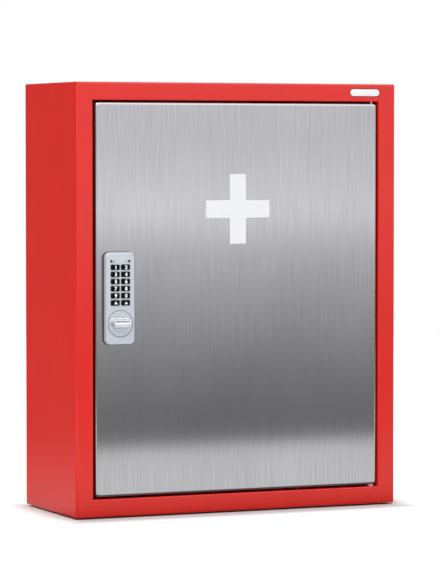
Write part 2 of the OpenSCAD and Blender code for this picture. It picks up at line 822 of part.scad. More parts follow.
module lock_housing() {
    color("lightsteelblue") from_wall() difference() {
        union() {
            difference() {
                translate([lock_x, lock_y, lock_base])
                    round_block(lock_w, lock_h, lock_face - lock_base,
                                lock_corner_r, lock_edge_r);
                housing_room(lock_base - cut, face_inside - lock_base + cut);
            }
            // thick floor behind the knob
            intersection() {
                housing_room(floor_rear, face_inside - floor_rear);
                translate([lock_x - lock_w / 2, knob_y - knob_d / 2 - lock_wall, floor_rear])
                    cube([lock_w, knob_d + 2 * lock_wall, face_inside - floor_rear]);
            }
            // bosses for the fixing screws, each joined to its end wall
            for (side = [-1, 1]) {
                translate([lock_x, lock_y + side * screw_pitch / 2, lock_base])
                    cylinder(h = face_inside - lock_base, r = boss_r);
                translate([lock_x, lock_y + side * (screw_pitch / 2 + boss_web / 2), 0])
                    translate([-boss_r, -boss_web / 2, lock_base])
                        cube([2 * boss_r, boss_web, face_inside - lock_base]);
            }
            // ledges that the circuit board lies against
            for (side = [-1, 1])
                translate([lock_x + side * (lock_w / 2 - lock_wall - 1) - 1.5,
                           lock_y + board_bottom, board_front])
                    cube([3, board_h, face_inside - board_front]);
        }
        // well and bore of the knob
        translate([lock_x, knob_y, knob_floor])
            cylinder(h = lock_face - knob_floor + cut, r = knob_d / 2 + knob_gap);
        translate([lock_x, knob_y, lock_base])
            cylinder(h = knob_floor - lock_base + cut, r = spindle_d / 2 + hole_gap);
        // windows of the keys
        for (i = [1:12])
            translate([key_x(i), key_y(i), face_inside - cut])
                linear_extrude(lock_wall + 2 * cut)
                    rounded_rect(key_w + 2 * key_gap, key_h + 2 * key_gap,
                                 key_corner_r + key_gap);
        // holes of the lamps
        for (side = [-1, 1])
            translate([lock_x + side * lamp_pitch / 2, lock_y + lamp_rise, board_front])
                cylinder(h = lock_face - board_front + cut, r = lamp_d / 2 + fit_gap);
        // threaded holes of the fixing screws
        for (side = [-1, 1])
            translate([lock_x, lock_y + side * screw_pitch / 2, lock_base - cut])
                cylinder(h = face_inside - boss_depth - lock_base + cut,
                         r = screw_d / 2 + fit_gap);
    }
}

module lock_key(i) {
    color("black") from_wall() translate([key_x(i), key_y(i), 0]) {
        translate([0, 0, rim_front - key_rim_t / 2])
            round_block(key_w, key_h, lock_face + key_proud - rim_front + key_rim_t / 2,
                        key_corner_r, key_edge_r);
        translate([0, 0, rim_rear]) linear_extrude(key_rim_t)
            rounded_rect(key_w + 2 * key_rim, key_h + 2 * key_rim, key_corner_r);
    }
}

module key_mat() {
    mat_h = key_rows * key_pitch_y;
    color("dimgray") from_wall()
        translate([lock_x, lock_y + key_first - (key_rows - 1) * key_pitch_y / 2, board_front])
            linear_extrude(mat_t)
                rounded_rect(2 * key_pitch_x, mat_h, mat_corner_r);
}

module circuit_board() {
    color("darkgreen") from_wall()
        translate([lock_x - board_w / 2, lock_y + board_bottom, board_rear])
            cube([board_w, board_h, board_t]);
}

// A light pipe from the circuit board to the lock's face; side picks the lamp
module lamp(side, tint) {
    color(tint) from_wall()
        translate([lock_x + side * lamp_pitch / 2, lock_y + lamp_rise, board_front])
            cylinder(h = lock_face - board_front, r = lamp_d / 2);
}

// Flanged tube that guides the spindle through the door
module lock_tube() {
    color("silver") from_wall() translate([lock_x, knob_y, 0]) difference() {
        union() {
            translate([0, 0, tube_foot]) cylinder(h = floor_rear - tube_foot, r = tube_d / 2);
            translate([0, 0, door_front])
                cylinder(h = floor_rear - door_front, r = tube_d / 2 + tube_flange);
        }
        translate([0, 0, tube_foot - cut])
            cylinder(h = floor_rear - tube_foot + 2 * cut, r = spindle_d / 2 + spindle_clear);
    }
}

module lock_case() {
    color("gray") from_wall() translate([lock_x, lock_y, 0]) difference() {
        union() {
            translate([0, 0, door_rear]) mirror([0, 0, 1])
                round_block(case_w, case_h, case_d, case_corner_r, case_edge_r);
            translate([0, box_mid, door_rear]) mirror([0, 0, 1])
                round_block(case_w, box_h, box_d, box_corner_r, case_edge_r);
        }
        // pocket of the batteries, and the seat of its cover
        translate([-cell_pocket_w / 2, box_mid - cell_pocket_h / 2, box_rear - cut])
            cube([cell_pocket_w, cell_pocket_h, cover_t + battery_d + 2 * cell_gap + cut]);
        translate([0, box_mid, box_rear - cut]) linear_extrude(cover_t + cut)
            rounded_rect(cell_pocket_w + 2 * lid_rim, cell_pocket_h + 2 * lid_end_rim,
                         lid_corner_r);
        // way of the battery lead
        translate([-lead_w / 2 - lead_gap, lead_y - lock_y - lead_t / 2 - lead_gap, cell_z])
            cube([lead_w + 2 * lead_gap, lead_t + 2 * lead_gap, door_rear - cell_z + cut]);
        // seat of the tube and bore of the spindle
        translate([0, -knob_drop, tube_foot])
            cylinder(h = door_rear - tube_foot + cut, r = tube_d / 2 + fit_gap);
        translate([0, -knob_drop, case_rear - cut])
            cylinder(h = case_floor + 2 * cut, r = spindle_d / 2 + hole_gap);
        // fixing screws and their heads
        for (side = [-1, 1]) {
            translate([0, side * screw_pitch / 2, case_rear - cut])
                cylinder(h = case_d + 2 * cut, r = screw_d / 2 + hole_gap);
            translate([0, side * screw_pitch / 2, case_rear - cut])
                cylinder(h = head_seat - case_rear + cut, r = screw_head_d / 2 + hole_gap);
        }
    }
}

module battery_cover() {
    color("dimgray") from_wall() translate([lock_x, lock_y + box_mid, box_rear]) difference() {
        linear_extrude(cover_t)
            rounded_rect(cell_pocket_w + 2 * lid_rim - 2 * lid_gap,
                         cell_pocket_h + 2 * lid_end_rim - 2 * lid_gap, lid_corner_r - lid_gap);
        // three finger grooves across the lid
        for (i = [-1:1])
            translate([-groove_l / 2, cell_pocket_h / 2 - groove_from_end + groove_pitch * i, -cut])
                cube([groove_l, groove_w, cut + groove_depth]);
    }
}

module batteries() {
    nub_l = 1;
    color("goldenrod") from_wall()
        for (side = [-1, 1])
            translate([lock_x + side * (battery_d + cell_gap) / 2, lock_y + box_mid, cell_z])
                rotate([side * 90, 0, 0]) {
                    cylinder(h = battery_l - nub_l, d = battery_d, center = true);
                    cylinder(h = battery_l / 2 + nub_l / 2, d = battery_d / 3);
                }
}

module battery_lead() {
    color("black") from_wall()
        translate([lock_x - lead_w / 2, lead_y - lead_t / 2, cell_z + battery_d / 2 + cell_gap])
            cube([lead_w, lead_t, board_rear - cell_z - battery_d / 2 - cell_gap]);
}

module lock_screws() {
    shank_end = face_inside - boss_depth - screw_end_gap;
    color("silver") from_wall()
        for (side = [-1, 1])
            translate([lock_x, lock_y + side * screw_pitch / 2, 0]) difference() {
                union() {
                    translate([0, 0, head_seat - screw_head_h])
                        cylinder(h = screw_head_h, d = screw_head_d);
                    translate([0, 0, head_seat])
                        cylinder(h = shank_end - head_seat, d = screw_d);
                }
                translate([0, 0, head_seat - screw_head_h - cut])
                    cylinder(h = screw_head_h / 2 + cut, d = screw_head_d / 2.2, $fn = 6);
            }
}

// ------------------------------------------------------------- knob and cam

// The grip: three outlines, seen from the front, the end and above, in one
module grip() {
    tip_r = 2;
    intersection() {
        linear_extrude(grip_h) rounded_rect(grip_l, grip_w, grip_w / 3);
        rotate([90, 0, 90]) linear_extrude(grip_l, center = true) hull() {
            translate([-grip_w / 2, 0]) square([grip_w, 0.5]);
            for (side = [-1, 1])
                translate([side * (grip_w / 2 - grip_slope - tip_r), grip_h - tip_r])
                    circle(tip_r, $fn = 32);
        }
        rotate([90, 0, 0]) linear_extrude(grip_w, center = true) hull() {
            translate([-grip_l / 2, 0]) square([grip_l, 0.5]);
            for (side = [-1, 1])
                translate([side * (grip_l / 2 - grip_slope / 2 - tip_r), grip_h - tip_r])
                    circle(tip_r, $fn = 32);
        }
    }
}

module knob() {
    chamfer = 0.4;
    color("lightsteelblue") from_wall() translate([lock_x, knob_y, 0]) {
        difference() {
            translate([0, 0, knob_rear]) rotate_extrude()
                polygon([[0, 0], [knob_d / 2, 0], [knob_d / 2, knob_t - chamfer],
                         [knob_d / 2 - chamfer, knob_t], [0, knob_t]]);
            translate([0, 0, knob_rear - cut])
                cylinder(h = socket_depth + cut, r = spindle_d / 2 + fit_gap);
        }
        translate([0, 0, knob_front]) grip();
    }
}

module spindle() {
    color("silver") from_wall() translate([lock_x, knob_y, 0]) difference() {
        union() {
            translate([0, 0, cam_front]) cylinder(h = knob_rear + socket_depth - cam_front,
                                                  r = spindle_d / 2);
            translate([-spindle_square / 2, -spindle_square / 2, cam_rear])
                cube([spindle_square, spindle_square, cam_t + cut]);
        }
        translate([0, 0, cam_rear - cut])
            cylinder(h = cam_screw_l + cam_screw_end_gap + cut, r = cam_screw_d / 2 + fit_gap);
    }
}

// The cam hangs down when the lock is open and turns behind the return
module cam() {
    tip_r = cam_w / 2;
    hole = spindle_square + 2 * fit_gap;
    color("silver") from_wall() translate([lock_x, knob_y, cam_rear]) linear_extrude(cam_t)
        difference() {
            union() {
                circle(d = cam_hub_d);
                translate([-cam_w / 2, -(cam_l - tip_r)]) square([cam_w, cam_l - tip_r]);
                translate([0, -(cam_l - tip_r)]) circle(tip_r);
            }
            square(hole, center = true);
        }
}

module cam_screw() {
    color("silver") from_wall() translate([lock_x, knob_y, 0]) difference() {
        union() {
            translate([0, 0, cam_rear - cam_screw_head_h])
                cylinder(h = cam_screw_head_h, d = cam_screw_head_d);
            translate([0, 0, cam_rear]) cylinder(h = cam_screw_l, d = cam_screw_d);
        }
        translate([0, 0, cam_rear - cam_screw_head_h - cut])
            cylinder(h = cam_screw_head_h / 2 + cut, d = cam_screw_head_d / 2.4, $fn = 6);
    }
}

// ---------------------------------------------------------------- the nodes

carcass();
back_panel();
shelf_rail(-1, rail_front_z);  // rail_left_front
shelf_rail(-1, rail_rear_z);  // rail_left_rear
shelf_rail(1, rail_front_z);  // rail_right_front
shelf_rail(1, rail_rear_z);  // rail_right_rear
shelf_clips();
shelf(lower_slot);  // shelf_lower
shelf(upper_slot);  // shelf_upper
pivot_bush_top();
pivot_bush_bottom();
door_stops();
door_buffers();
door_skin();
door_liner();
door_stiffener();
pivot_block_top();
pivot_block_bottom();
pivot_pin_bottom();
pivot_spring();
pivot_pin_top();
release_tab();
lock_gasket();
lock_housing();
key_mat();
circuit_board();
lamp(-1, "darkred");  // lamp_red
lamp(1, "darkgreen");  // lamp_green
lock_tube();
lock_case();
battery_cover();
batteries();
battery_lead();
lock_screws();
knob();
spindle();
cam();
cam_screw();
for (i = [1:12]) lock_key(i);
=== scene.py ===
"""Looks of a lockable medicine cabinet: finishes, dressed pieces, studio and camera.

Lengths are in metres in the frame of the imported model: X to the right, -Y out from the
wall and Z up, with the origin on the wall plane between the four fixing holes.
"""
import logging
import math
from collections.abc import Callable
from dataclasses import dataclass, field
from enum import Enum

import bmesh
import bpy
from mathutils import Matrix, Vector


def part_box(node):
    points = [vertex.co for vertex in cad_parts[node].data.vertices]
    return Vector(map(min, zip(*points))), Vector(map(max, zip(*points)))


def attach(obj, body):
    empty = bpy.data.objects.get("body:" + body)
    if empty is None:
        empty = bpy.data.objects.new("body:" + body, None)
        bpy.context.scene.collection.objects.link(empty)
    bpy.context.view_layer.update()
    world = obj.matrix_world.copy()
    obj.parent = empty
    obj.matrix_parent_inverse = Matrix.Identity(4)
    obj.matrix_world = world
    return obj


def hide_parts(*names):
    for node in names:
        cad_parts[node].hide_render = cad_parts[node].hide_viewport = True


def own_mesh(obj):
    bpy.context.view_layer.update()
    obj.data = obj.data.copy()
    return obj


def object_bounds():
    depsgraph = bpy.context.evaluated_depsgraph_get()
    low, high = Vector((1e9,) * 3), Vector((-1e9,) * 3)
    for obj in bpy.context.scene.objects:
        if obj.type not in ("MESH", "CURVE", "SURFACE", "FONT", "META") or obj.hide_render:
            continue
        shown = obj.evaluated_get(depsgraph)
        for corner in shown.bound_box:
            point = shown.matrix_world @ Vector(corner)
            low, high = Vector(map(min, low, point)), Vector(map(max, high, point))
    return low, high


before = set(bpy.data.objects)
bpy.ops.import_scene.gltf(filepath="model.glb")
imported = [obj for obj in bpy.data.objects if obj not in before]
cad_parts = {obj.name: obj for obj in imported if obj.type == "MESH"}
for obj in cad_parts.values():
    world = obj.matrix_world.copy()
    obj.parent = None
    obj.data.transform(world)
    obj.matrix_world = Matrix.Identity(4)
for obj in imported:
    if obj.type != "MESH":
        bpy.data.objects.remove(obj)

CAD_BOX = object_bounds()
LOG = logging.getLogger("cabinet")
BLACK = (0.0, 0.0, 0.0, 1.0)
WHITE = (1.0, 1.0, 1.0, 1.0)
NOISE_SPAN = (0.3, 0.7)  # where a noise mostly lies
HALVINGS = 40  # steps of the search for a ring's edge
LEAST_SIDE = 1e-6  # what a pill's half side keeps beyond its corner
MARK_SIDES = 20  # sides of a weld mark
RING_POINTS = 96
SHARP_EDGE = math.radians(35.0)
TURN_STEPS = 24  # steps in one turn of a coil
WIRE_SIDES = 10
WELD_SINK = 0.00005  # how deep a weld mark's foot lies in the sheet
KEYS = [f"key_{i}" for i in range(1, 13)]

Pair = tuple[float, float]
Triple = tuple[float, float, float]
Colour = Triple
Outline = list[Pair]
Ring = tuple[Outline, float]
Material = bpy.types.Material
Piece = bpy.types.Object
Socket = bpy.types.NodeSocket


# ---------------------------------------------------------------- finishes


class NodeSheet:
    """A node tree, and short ways to draw it."""

    def __init__(self, tree: bpy.types.NodeTree) -> None:
        """Takes up a tree and clears it.

        Args:
            tree: The tree.
        """
        self.tree = tree
        tree.nodes.clear()

    def fill(self, target: Socket, value: object) -> None:
        """Links an input to another node's socket, or sets it to a constant.

        Args:
            target: The input.
            value: The socket or the constant.
        """
        if isinstance(value, Socket):
            self.tree.links.new(value, target)
        else:
            target.default_value = value

    def node(self, kind: str, inputs: dict | None = None, **options: object) -> bpy.types.Node:
        """Adds a node.

        Args:
            kind: Blender's name of its type.
            inputs: A socket or a constant for each input, by name or number.
            **options: The node's own settings.

        Returns:
            The node.
        """
        node = self.tree.nodes.new(kind)
        for name, value in options.items():
            setattr(node, name, value)
        for name, value in (inputs or {}).items():
            self.fill(node.inputs[name], value)
        return node

    def remap(self, value: Socket, low: float, high: float, to_low: float, to_high: float,
              kind: str = "LINEAR") -> Socket:
        """Maps low..high to to_low..to_high, clamped.

        Args:
            value: What is mapped.
            low: Input that gives to_low.
            high: Input that gives to_high.
            to_low: First result.
            to_high: Second result.
            kind: Blender's name of the way between them.

        Returns:
            The mapped value.
        """
        ends = {"Value": value, "From Min": low, "From Max": high, "To Min": to_low,
                "To Max": to_high}
        return self.node("ShaderNodeMapRange", ends, interpolation_type=kind).outputs["Result"]

    def math(self, kind: str, first: Socket, second: object = 0.0) -> Socket:
        """One step of arithmetic, by Blender's name, on a socket and a socket or number."""
        return self.node("ShaderNodeMath", {0: first, 1: second}, operation=kind).outputs["Value"]


class FinishSheet(NodeSheet):
    """A material's node tree while a finish draws it up."""

    def __init__(self, name: str) -> None:
        """Starts a material with one surface shader.

        Args:
            name: The material's name.
        """
        self.material = bpy.data.materials.new(name)
        self.material.use_nodes = True
        super().__init__(self.material.node_tree)
        self.shader = self.node("ShaderNodeBsdfPrincipled")
        self.node("ShaderNodeOutputMaterial", {"Surface": self.shader.outputs["BSDF"]})
        self.place = self.node("ShaderNodeTexCoord").outputs["Object"]

    def set(self, **inputs: object) -> None:
        """Fills the shader's inputs; an underscore in a name stands for a space."""
        for name, value in inputs.items():
            self.fill(self.shader.inputs[name.replace("_", " ")], value)

    def axis(self, name: str) -> Socket:
        """The object's X, Y or Z."""
        return self.node("ShaderNodeSeparateXYZ", {"Vector": self.place}).outputs[name]

    def scaled(self, size: Triple, shift: Triple) -> Socket:
        """The object's coordinates counted in grains of a size, and moved by a shift."""
        inputs = {"Vector": self.place, "Scale": tuple(1.0 / s for s in size), "Location": shift}
        return self.node("ShaderNodeMapping", inputs).outputs["Vector"]

    def noise(self, size: Triple, detail: float = 2.0, rough: float = 0.5,
              shift: Triple = (0.0, 0.0, 0.0)) -> Socket:
        """Noise whose grains have the given size along X, Y and Z.

        Args:
            size: Grain size in metres along each axis.
            detail: Octaves of finer grain.
            rough: How strong the finer grain is.
            shift: Offset that sets two noises apart.

        Returns:
            The noise's factor, mostly within NOISE_SPAN.
        """
        inputs = {"Vector": self.scaled(size, shift), "Scale": 1.0, "Detail": detail,
                  "Roughness": rough}
        return self.node("ShaderNodeTexNoise", inputs).outputs["Fac"]

    def spots(self, size: float) -> Socket:
        """Distance to the nearest of many scattered points, in cells of a size."""
        inputs = {"Vector": self.scaled((size,) * 3, (0.0, 0.0, 0.0)), "Scale": 1.0}
        return self.node("ShaderNodeTexVoronoi", inputs).outputs["Distance"]

    def tint(self, value: Socket, low: float, high: float, first: object, second: Colour,
             most: float = 1.0) -> Socket:
        """Mixes a second colour into a first one as a value rises.

        Args:
            value: The value.
            low: The value that leaves the first colour.
            high: The value that gives the most of the second.
            first: A colour or a colour's socket.
            second: A colour.
            most: The most of the second colour.

        Returns:
            The mixed colour.
        """
        share = self.remap(value, low, high, 0.0, most)
        base = first if isinstance(first, Socket) else (*first, 1.0)
        return self.node("ShaderNodeMix", {0: share, 6: base, 7: (*second, 1.0)},
                         data_type="RGBA").outputs[2]

    def polish(self, value: Socket, gloss: float, less: float, more: float) -> Socket:
        """Roughness that a noise takes from less under a gloss to more over it."""
        return self.remap(value, *NOISE_SPAN, gloss - less, gloss + more)

    def bump(self, height: Socket, depth: float, strength: float,
             under: Socket | None = None) -> Socket:
        """Turns a height into a normal.

        Args:
            height: The height, 0 to 1.
            depth: Depth in metres of a height of 1.
            strength: How much of it counts.
            under: A normal that this one is laid over.

        Returns:
            The normal.
        """
        inputs = {"Height": height, "Distance": depth, "Strength": strength}
        if under is not None:
            inputs["Normal"] = under
        return self.node("ShaderNodeBump", inputs).outputs["Normal"]

    def glow(self, strength: object, colour: object = WHITE) -> None:
        """Makes the surface black but for the light that it gives off."""
        self.set(Base_Color=BLACK, Specular_IOR_Level=0.0, Emission_Color=colour,
                 Emission_Strength=strength)


def shaded(colour: Colour, share: float, plus: float = 0.0) -> Colour:
    """A colour times a share, plus a little white."""
    return tuple(min(1.0, part * share + plus) for part in colour)


@dataclass(frozen=True)
class Finish:
    """Any finish: a name, and a material that each kind draws in its own way."""

    name: str

    def draw(self, sheet: FinishSheet) -> None:
        """Draws the finish on its material's sheet; each kind has its own way."""
        raise NotImplementedError

    def material(self) -> Material:
        """Makes the material.

        Returns:
            The material.
        """
        sheet = FinishSheet(self.name)
        self.draw(sheet)
        return sheet.material


@dataclass(frozen=True)
class PowderCoat(Finish):
    """Baked powder paint: a fine orange peel with faint cloudiness."""

    colour: Colour
    shade: Colour
    gloss: float = 0.2
    peel: float = 0.0012
    sheen: float = 0.5

    def draw(self, sheet: FinishSheet) -> None:
        """Draws the finish.

        Args:
            sheet: Its material's sheet.
        """
        cloud = sheet.noise((0.05, 0.05, 0.07), 3.0)
        grit = sheet.noise((0.0005,) * 3, 2.0, 0.6)
        wave = sheet.noise((0.004,) * 3, 3.0)
        tone = sheet.tint(cloud, 0.35, 0.65, self.colour, self.shade)
        peel = sheet.bump(sheet.noise((self.peel,) * 3, 1.0), 0.00002, 0.3)
        sheet.set(Base_Color=sheet.tint(grit, 0.62, 0.75, tone, shaded(self.shade, 0.7), 0.2),
                  Roughness=sheet.polish(wave, self.gloss, 0.02, 0.04),
                  Normal=sheet.bump(grit, 0.000006, 0.3, peel), Specular_IOR_Level=self.sheen)


@dataclass(frozen=True)
class BrushedSteel(Finish):
    """Stainless sheet brushed up and down, with streaks and faint clouds."""

    light: Colour = (0.50, 0.50, 0.515)
    dark: Colour = (0.39, 0.39, 0.402)
    gloss: float = 0.15
    stretch: float = 0.95

    def draw(self, sheet: FinishSheet) -> None:
        """Draws the finish.

        Args:
            sheet: Its material's sheet.
        """
        hair = sheet.noise((0.0005, 0.0005, 0.06), 3.0, 0.65)
        streak = sheet.noise((0.0019, 0.0019, 0.14), 3.0, 0.6, (3.1, 0.0, 1.7))
        cloud = sheet.noise((0.12, 0.12, 0.16), 2.0, 0.5, (7.0, 2.0, 0.0))
        groove = sheet.noise((0.00035, 0.00035, 0.05), 2.0, 0.6, (0.0, 0.0, 5.0))
        tone = sheet.tint(hair, *NOISE_SPAN, self.light, self.dark)
        tone = sheet.tint(streak, 0.42, 0.7, tone, shaded(self.dark, 0.85), 0.22)
        tone = sheet.tint(cloud, 0.45, 0.7, tone, shaded(self.light, 1.12), 0.25)
        outward = sheet.node("ShaderNodeNewGeometry").outputs["True Normal"]
        across = sheet.node("ShaderNodeVectorMath", {0: outward, 1: (0.0, 0.0, 1.0)},
                            operation="CROSS_PRODUCT")
        sheet.set(Base_Color=tone, Roughness=sheet.polish(hair, self.gloss, 0.05, 0.07),
                  Normal=sheet.bump(groove, 0.00001, 0.5), Tangent=across.outputs["Vector"],
                  Metallic=1.0, Anisotropic=self.stretch)


@dataclass(frozen=True)
class ZincPlate(Finish):
    """Bright zinc plating with a faint spangle and dull rub marks."""

    light: Colour = (0.62, 0.63, 0.64)
    dark: Colour = (0.46, 0.47, 0.49)
    rubbed: Colour = (0.5, 0.49, 0.46)
    gloss: float = 0.32

    def draw(self, sheet: FinishSheet) -> None:
        """Draws the finish.

        Args:
            sheet: Its material's sheet.
        """
        rub = sheet.noise((0.02, 0.02, 0.006), 4.0, 0.6)
        grain = sheet.noise((0.0008,) * 3, 2.0)
        tone = sheet.tint(sheet.spots(0.006), 0.1, 0.8, self.light, self.dark)
        sheet.set(Base_Color=sheet.tint(rub, 0.5, 0.75, tone, self.rubbed, 0.4),
                  Roughness=sheet.polish(rub, self.gloss, 0.06, 0.1),
                  Normal=sheet.bump(grain, 0.00002, 0.4), Metallic=1.0)


@dataclass(frozen=True)
class Lacquer(Finish):
    """Silver lacquer: fine metal flake under a satin clear coat."""

    colour: Colour
    flake: Colour
    gloss: float
    metal: float

    def draw(self, sheet: FinishSheet) -> None:
        """Draws the finish.

        Args:
            sheet: Its material's sheet.
        """
        flake = sheet.noise((0.0006,) * 3, 3.0, 0.7)
        cloud = sheet.noise((0.012,) * 3, 3.0, 0.5, (4.0, 1.0, 2.0))
        tone = sheet.tint(flake, 0.4, 0.68, self.colour, self.flake)
        sheet.set(Base_Color=sheet.tint(cloud, 0.5, 0.75, tone, shaded(self.colour, 0.9), 0.35),
                  Roughness=sheet.polish(flake, self.gloss, 0.05, 0.07),
                  Normal=sheet.bump(flake, 0.00003, 0.4), Metallic=self.metal,
                  Coat_Weight=0.3, Coat_Roughness=0.2)


@dataclass(frozen=True)
class SatinChrome(Finish):
    """Bead-blasted chrome: a bright satin metal with faint finger marks."""

    light: Colour = (0.75, 0.765, 0.79)
    dark: Colour = (0.65, 0.665, 0.69)
    gloss: float = 0.15

    def draw(self, sheet: FinishSheet) -> None:
        """Draws the finish.

        Args:
            sheet: Its material's sheet.
        """
        blast = sheet.noise((0.0003,) * 3, 2.0, 0.6)
        marks = sheet.noise((0.004, 0.004, 0.003), 3.0, 0.6, (2.0, 5.0, 1.0))
        sheet.set(Base_Color=sheet.tint(marks, 0.4, 0.7, self.light, self.dark),
                  Roughness=sheet.polish(marks, self.gloss, 0.04, 0.06),
                  Normal=sheet.bump(blast, 0.00001, 0.3), Metallic=1.0)


@dataclass(frozen=True)
class MouldedPlastic(Finish):
    """Moulded plastic or rubber: a fine spark-eroded texture and handling marks."""

    colour: Colour
    gloss: float
    grain: float = 0.0005
    depth: float = 0.00003
    sheen: float = 0.5

    def draw(self, sheet: FinishSheet) -> None:
        """Draws the finish.

        Args:
            sheet: Its material's sheet.
        """
        marks = sheet.noise((0.006,) * 3, 4.0, 0.6)
        grain = sheet.noise((self.grain,) * 3, 2.0)
        worn = shaded(self.colour, 1.25, 0.002)
        sheet.set(Base_Color=sheet.tint(marks, 0.4, 0.75, self.colour, worn),
                  Roughness=sheet.polish(marks, self.gloss, 0.05, 0.08),
                  Normal=sheet.bump(grain, self.depth, 0.5), Specular_IOR_Level=self.sheen)


@dataclass(frozen=True)
class Lens(Finish):
    """A tinted light pipe, dark while its lamp is off."""

    colour: Colour

    def draw(self, sheet: FinishSheet) -> None:
        """Draws the finish.

        Args:
            sheet: Its material's sheet.
        """
        depth = sheet.noise((0.001,) * 3, 2.0)
        sheet.set(Base_Color=sheet.tint(depth, 0.35, 0.65, self.colour, shaded(self.colour, 0.5)),
                  Roughness=sheet.polish(depth, 0.1, 0.02, 0.06), Specular_IOR_Level=0.6,
                  Coat_Weight=0.5, Coat_Roughness=0.05)


@dataclass(frozen=True)
class Print(Finish):
    """Ink or film: nearly even, with a trace of texture."""

    colour: Colour = (1.0, 1.0, 1.0)
    gloss: float = 0.3

    def draw(self, sheet: FinishSheet) -> None:
        """Draws the finish.

        Args:
            sheet: Its material's sheet.
        """
        tint = sheet.noise((0.01,) * 3, 3.0)
        grain = sheet.noise((0.0015,) * 3, 2.0)
        sheet.set(Base_Color=sheet.tint(tint, *NOISE_SPAN, self.colour, shaded(self.colour, 0.97)),
                  Roughness=sheet.polish(tint, self.gloss, 0.04, 0.05),
                  Normal=sheet.bump(grain, 0.00001, 0.4))


class Slot(Enum):
    """Material slots, each as the finish that it gets."""

    RED = PowderCoat("red_powder_coat", (0.79, 0.0150, 0.0072), (0.765, 0.0140, 0.0067))
    STEEL = BrushedSteel("brushed_stainless")
    ZINC = ZincPlate("zinc_plate")
    SHELF = PowderCoat("grey_shelf_paint", (0.56, 0.57, 0.58), (0.5, 0.51, 0.52), 0.42, 0.0016)
    SILVER = Lacquer("silver_lacquer", (0.625, 0.667, 0.735), (0.535, 0.57, 0.63), 0.36, 0.3)
    PLASTIC = MouldedPlastic("grey_plastic", (0.16, 0.165, 0.17), 0.45)
    KEY = MouldedPlastic("black_key_plastic", (0.0015, 0.0015, 0.002), 0.36, 0.0004, 0.00001,
                         0.08)
    RUBBER = MouldedPlastic("black_rubber", (0.012, 0.012, 0.012), 0.62, 0.0006, 0.00005, 0.3)
    NYLON = MouldedPlastic("ivory_nylon", (0.72, 0.68, 0.58), 0.42)
    BOARD = MouldedPlastic("green_board", (0.012, 0.10, 0.035), 0.35)
    RED_LENS = Lens("red_lens", (0.05, 0.004, 0.004))
    GREEN_LENS = Lens("green_lens", (0.004, 0.03, 0.01))
    SLEEVE = Lacquer("battery_sleeve", (0.62, 0.45, 0.18), (0.5, 0.35, 0.12), 0.3, 0.7)


# ------------------------------------------------------------------- shapes


def middle_of(name: str) -> Pair:
    """X and Z of the middle of a node."""
    low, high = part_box(name)
    return (low.x + high.x) / 2, (low.z + high.z) / 2


def front_of(name: str) -> float:
    """Y of the front of a node."""
    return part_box(name)[0].y


def outline_with_corners(points: Outline, radius: float, steps: int) -> Outline:
    """Rounds every corner of a closed outline.

    Args:
        points: Corners, counter-clockwise.
        radius: Radius of each corner.
        steps: Steps round a corner.

    Returns:
        The rounded outline.
    """
    made: Outline = []
    for i, corner in enumerate(points):
        here = Vector(corner)
        back = (Vector(points[i - 1]) - here).normalized()
        on = (Vector(points[(i + 1) % len(points)]) - here).normalized()
        turn = math.pi - back.angle(on)
        reach = radius * math.tan(turn / 2)
        centre = here + (back + on).normalized() * (radius / math.cos(turn / 2))
        first = here + back * reach - centre
        side = 1.0 if back.x * on.y - back.y * on.x < 0 else -1.0
        for k in range(steps + 1):
            spin = Matrix.Rotation(side * turn * k / steps, 2)
            spot = centre + spin @ first
            made.append((spot.x, spot.y))
    return made


def pill_outline(width: float, height: float, radius: float, steps: int = 8) -> Outline:
    """A rounded rectangle centred on the origin, counter-clockwise."""
    w, h = width / 2, height / 2
    return outline_with_corners([(-w, -h), (w, -h), (w, h), (-w, h)],
                                min(radius, w - LEAST_SIDE, h - LEAST_SIDE), steps)


def ring(width: float, height: float, corner: float, count: int = RING_POINTS) -> Outline:
    """Points of a rounded rectangle, or a circle, at equal angles round its centre.

    Args:
        width: Its width.
        height: Its height.
        corner: Radius of its corners.
        count: How many points.

    Returns:
        The outline, counter-clockwise.
    """
    def outside(x: float, z: float) -> float:
        """Distance of a point from the outline, negative inside."""
        over = (abs(x) - width / 2 + corner, abs(z) - height / 2 + corner)
        return math.hypot(max(over[0], 0.0), max(over[1], 0.0)) + min(max(over), 0.0) - corner

    made: Outline = []
    for k in range(count):
        way = (math.cos(math.tau * k / count), math.sin(math.tau * k / count))
        near, far = 0.0, width + height
        for _ in range(HALVINGS):
            middle = (near + far) / 2
            if outside(way[0] * middle, way[1] * middle) < 0:
                near = middle
            else:
                far = middle
        made.append((way[0] * near, way[1] * near))
    return made


def disc(radius: float, count: int = RING_POINTS) -> Outline:
    """A circle's points."""
    return ring(2 * radius, 2 * radius, radius, count)


def rounded_edge(shape: Callable[[float], Outline], face: float, edge: float,
                 turns: tuple[int, ...]) -> list[Ring]:
    """Rings round the front edge of a body.

    Args:
        shape: Gives the body's outline, drawn in by a distance.
        face: Y of the body's front face.
        edge: Radius of the edge.
        turns: Degrees round the edge, one for each ring.

    Returns:
        The rings, from back to front.
    """
    angles = [math.radians(turn) for turn in turns]
    return [(shape(edge * (1 - math.cos(a))), face + edge * (1 - math.sin(a))) for a in angles]


def show(name: str, data: bpy.types.ID) -> Piece:
    """Puts an object of some data in the scene.

    Args:
        name: The object's name.
        data: Its mesh, curve, light or camera.

    Returns:
        The object.
    """
    thing = bpy.data.objects.new(name, data)
    bpy.context.scene.collection.objects.link(thing)
    return thing


def melt(thing: Piece) -> bpy.types.Mesh:
    """Turns an object and its modifiers into a plain mesh.

    Args:
        thing: The object; it is removed.

    Returns:
        The mesh.
    """
    depsgraph = bpy.context.evaluated_depsgraph_get()
    mesh = bpy.data.meshes.new_from_object(thing.evaluated_get(depsgraph))
    bpy.data.objects.remove(thing)
    return mesh


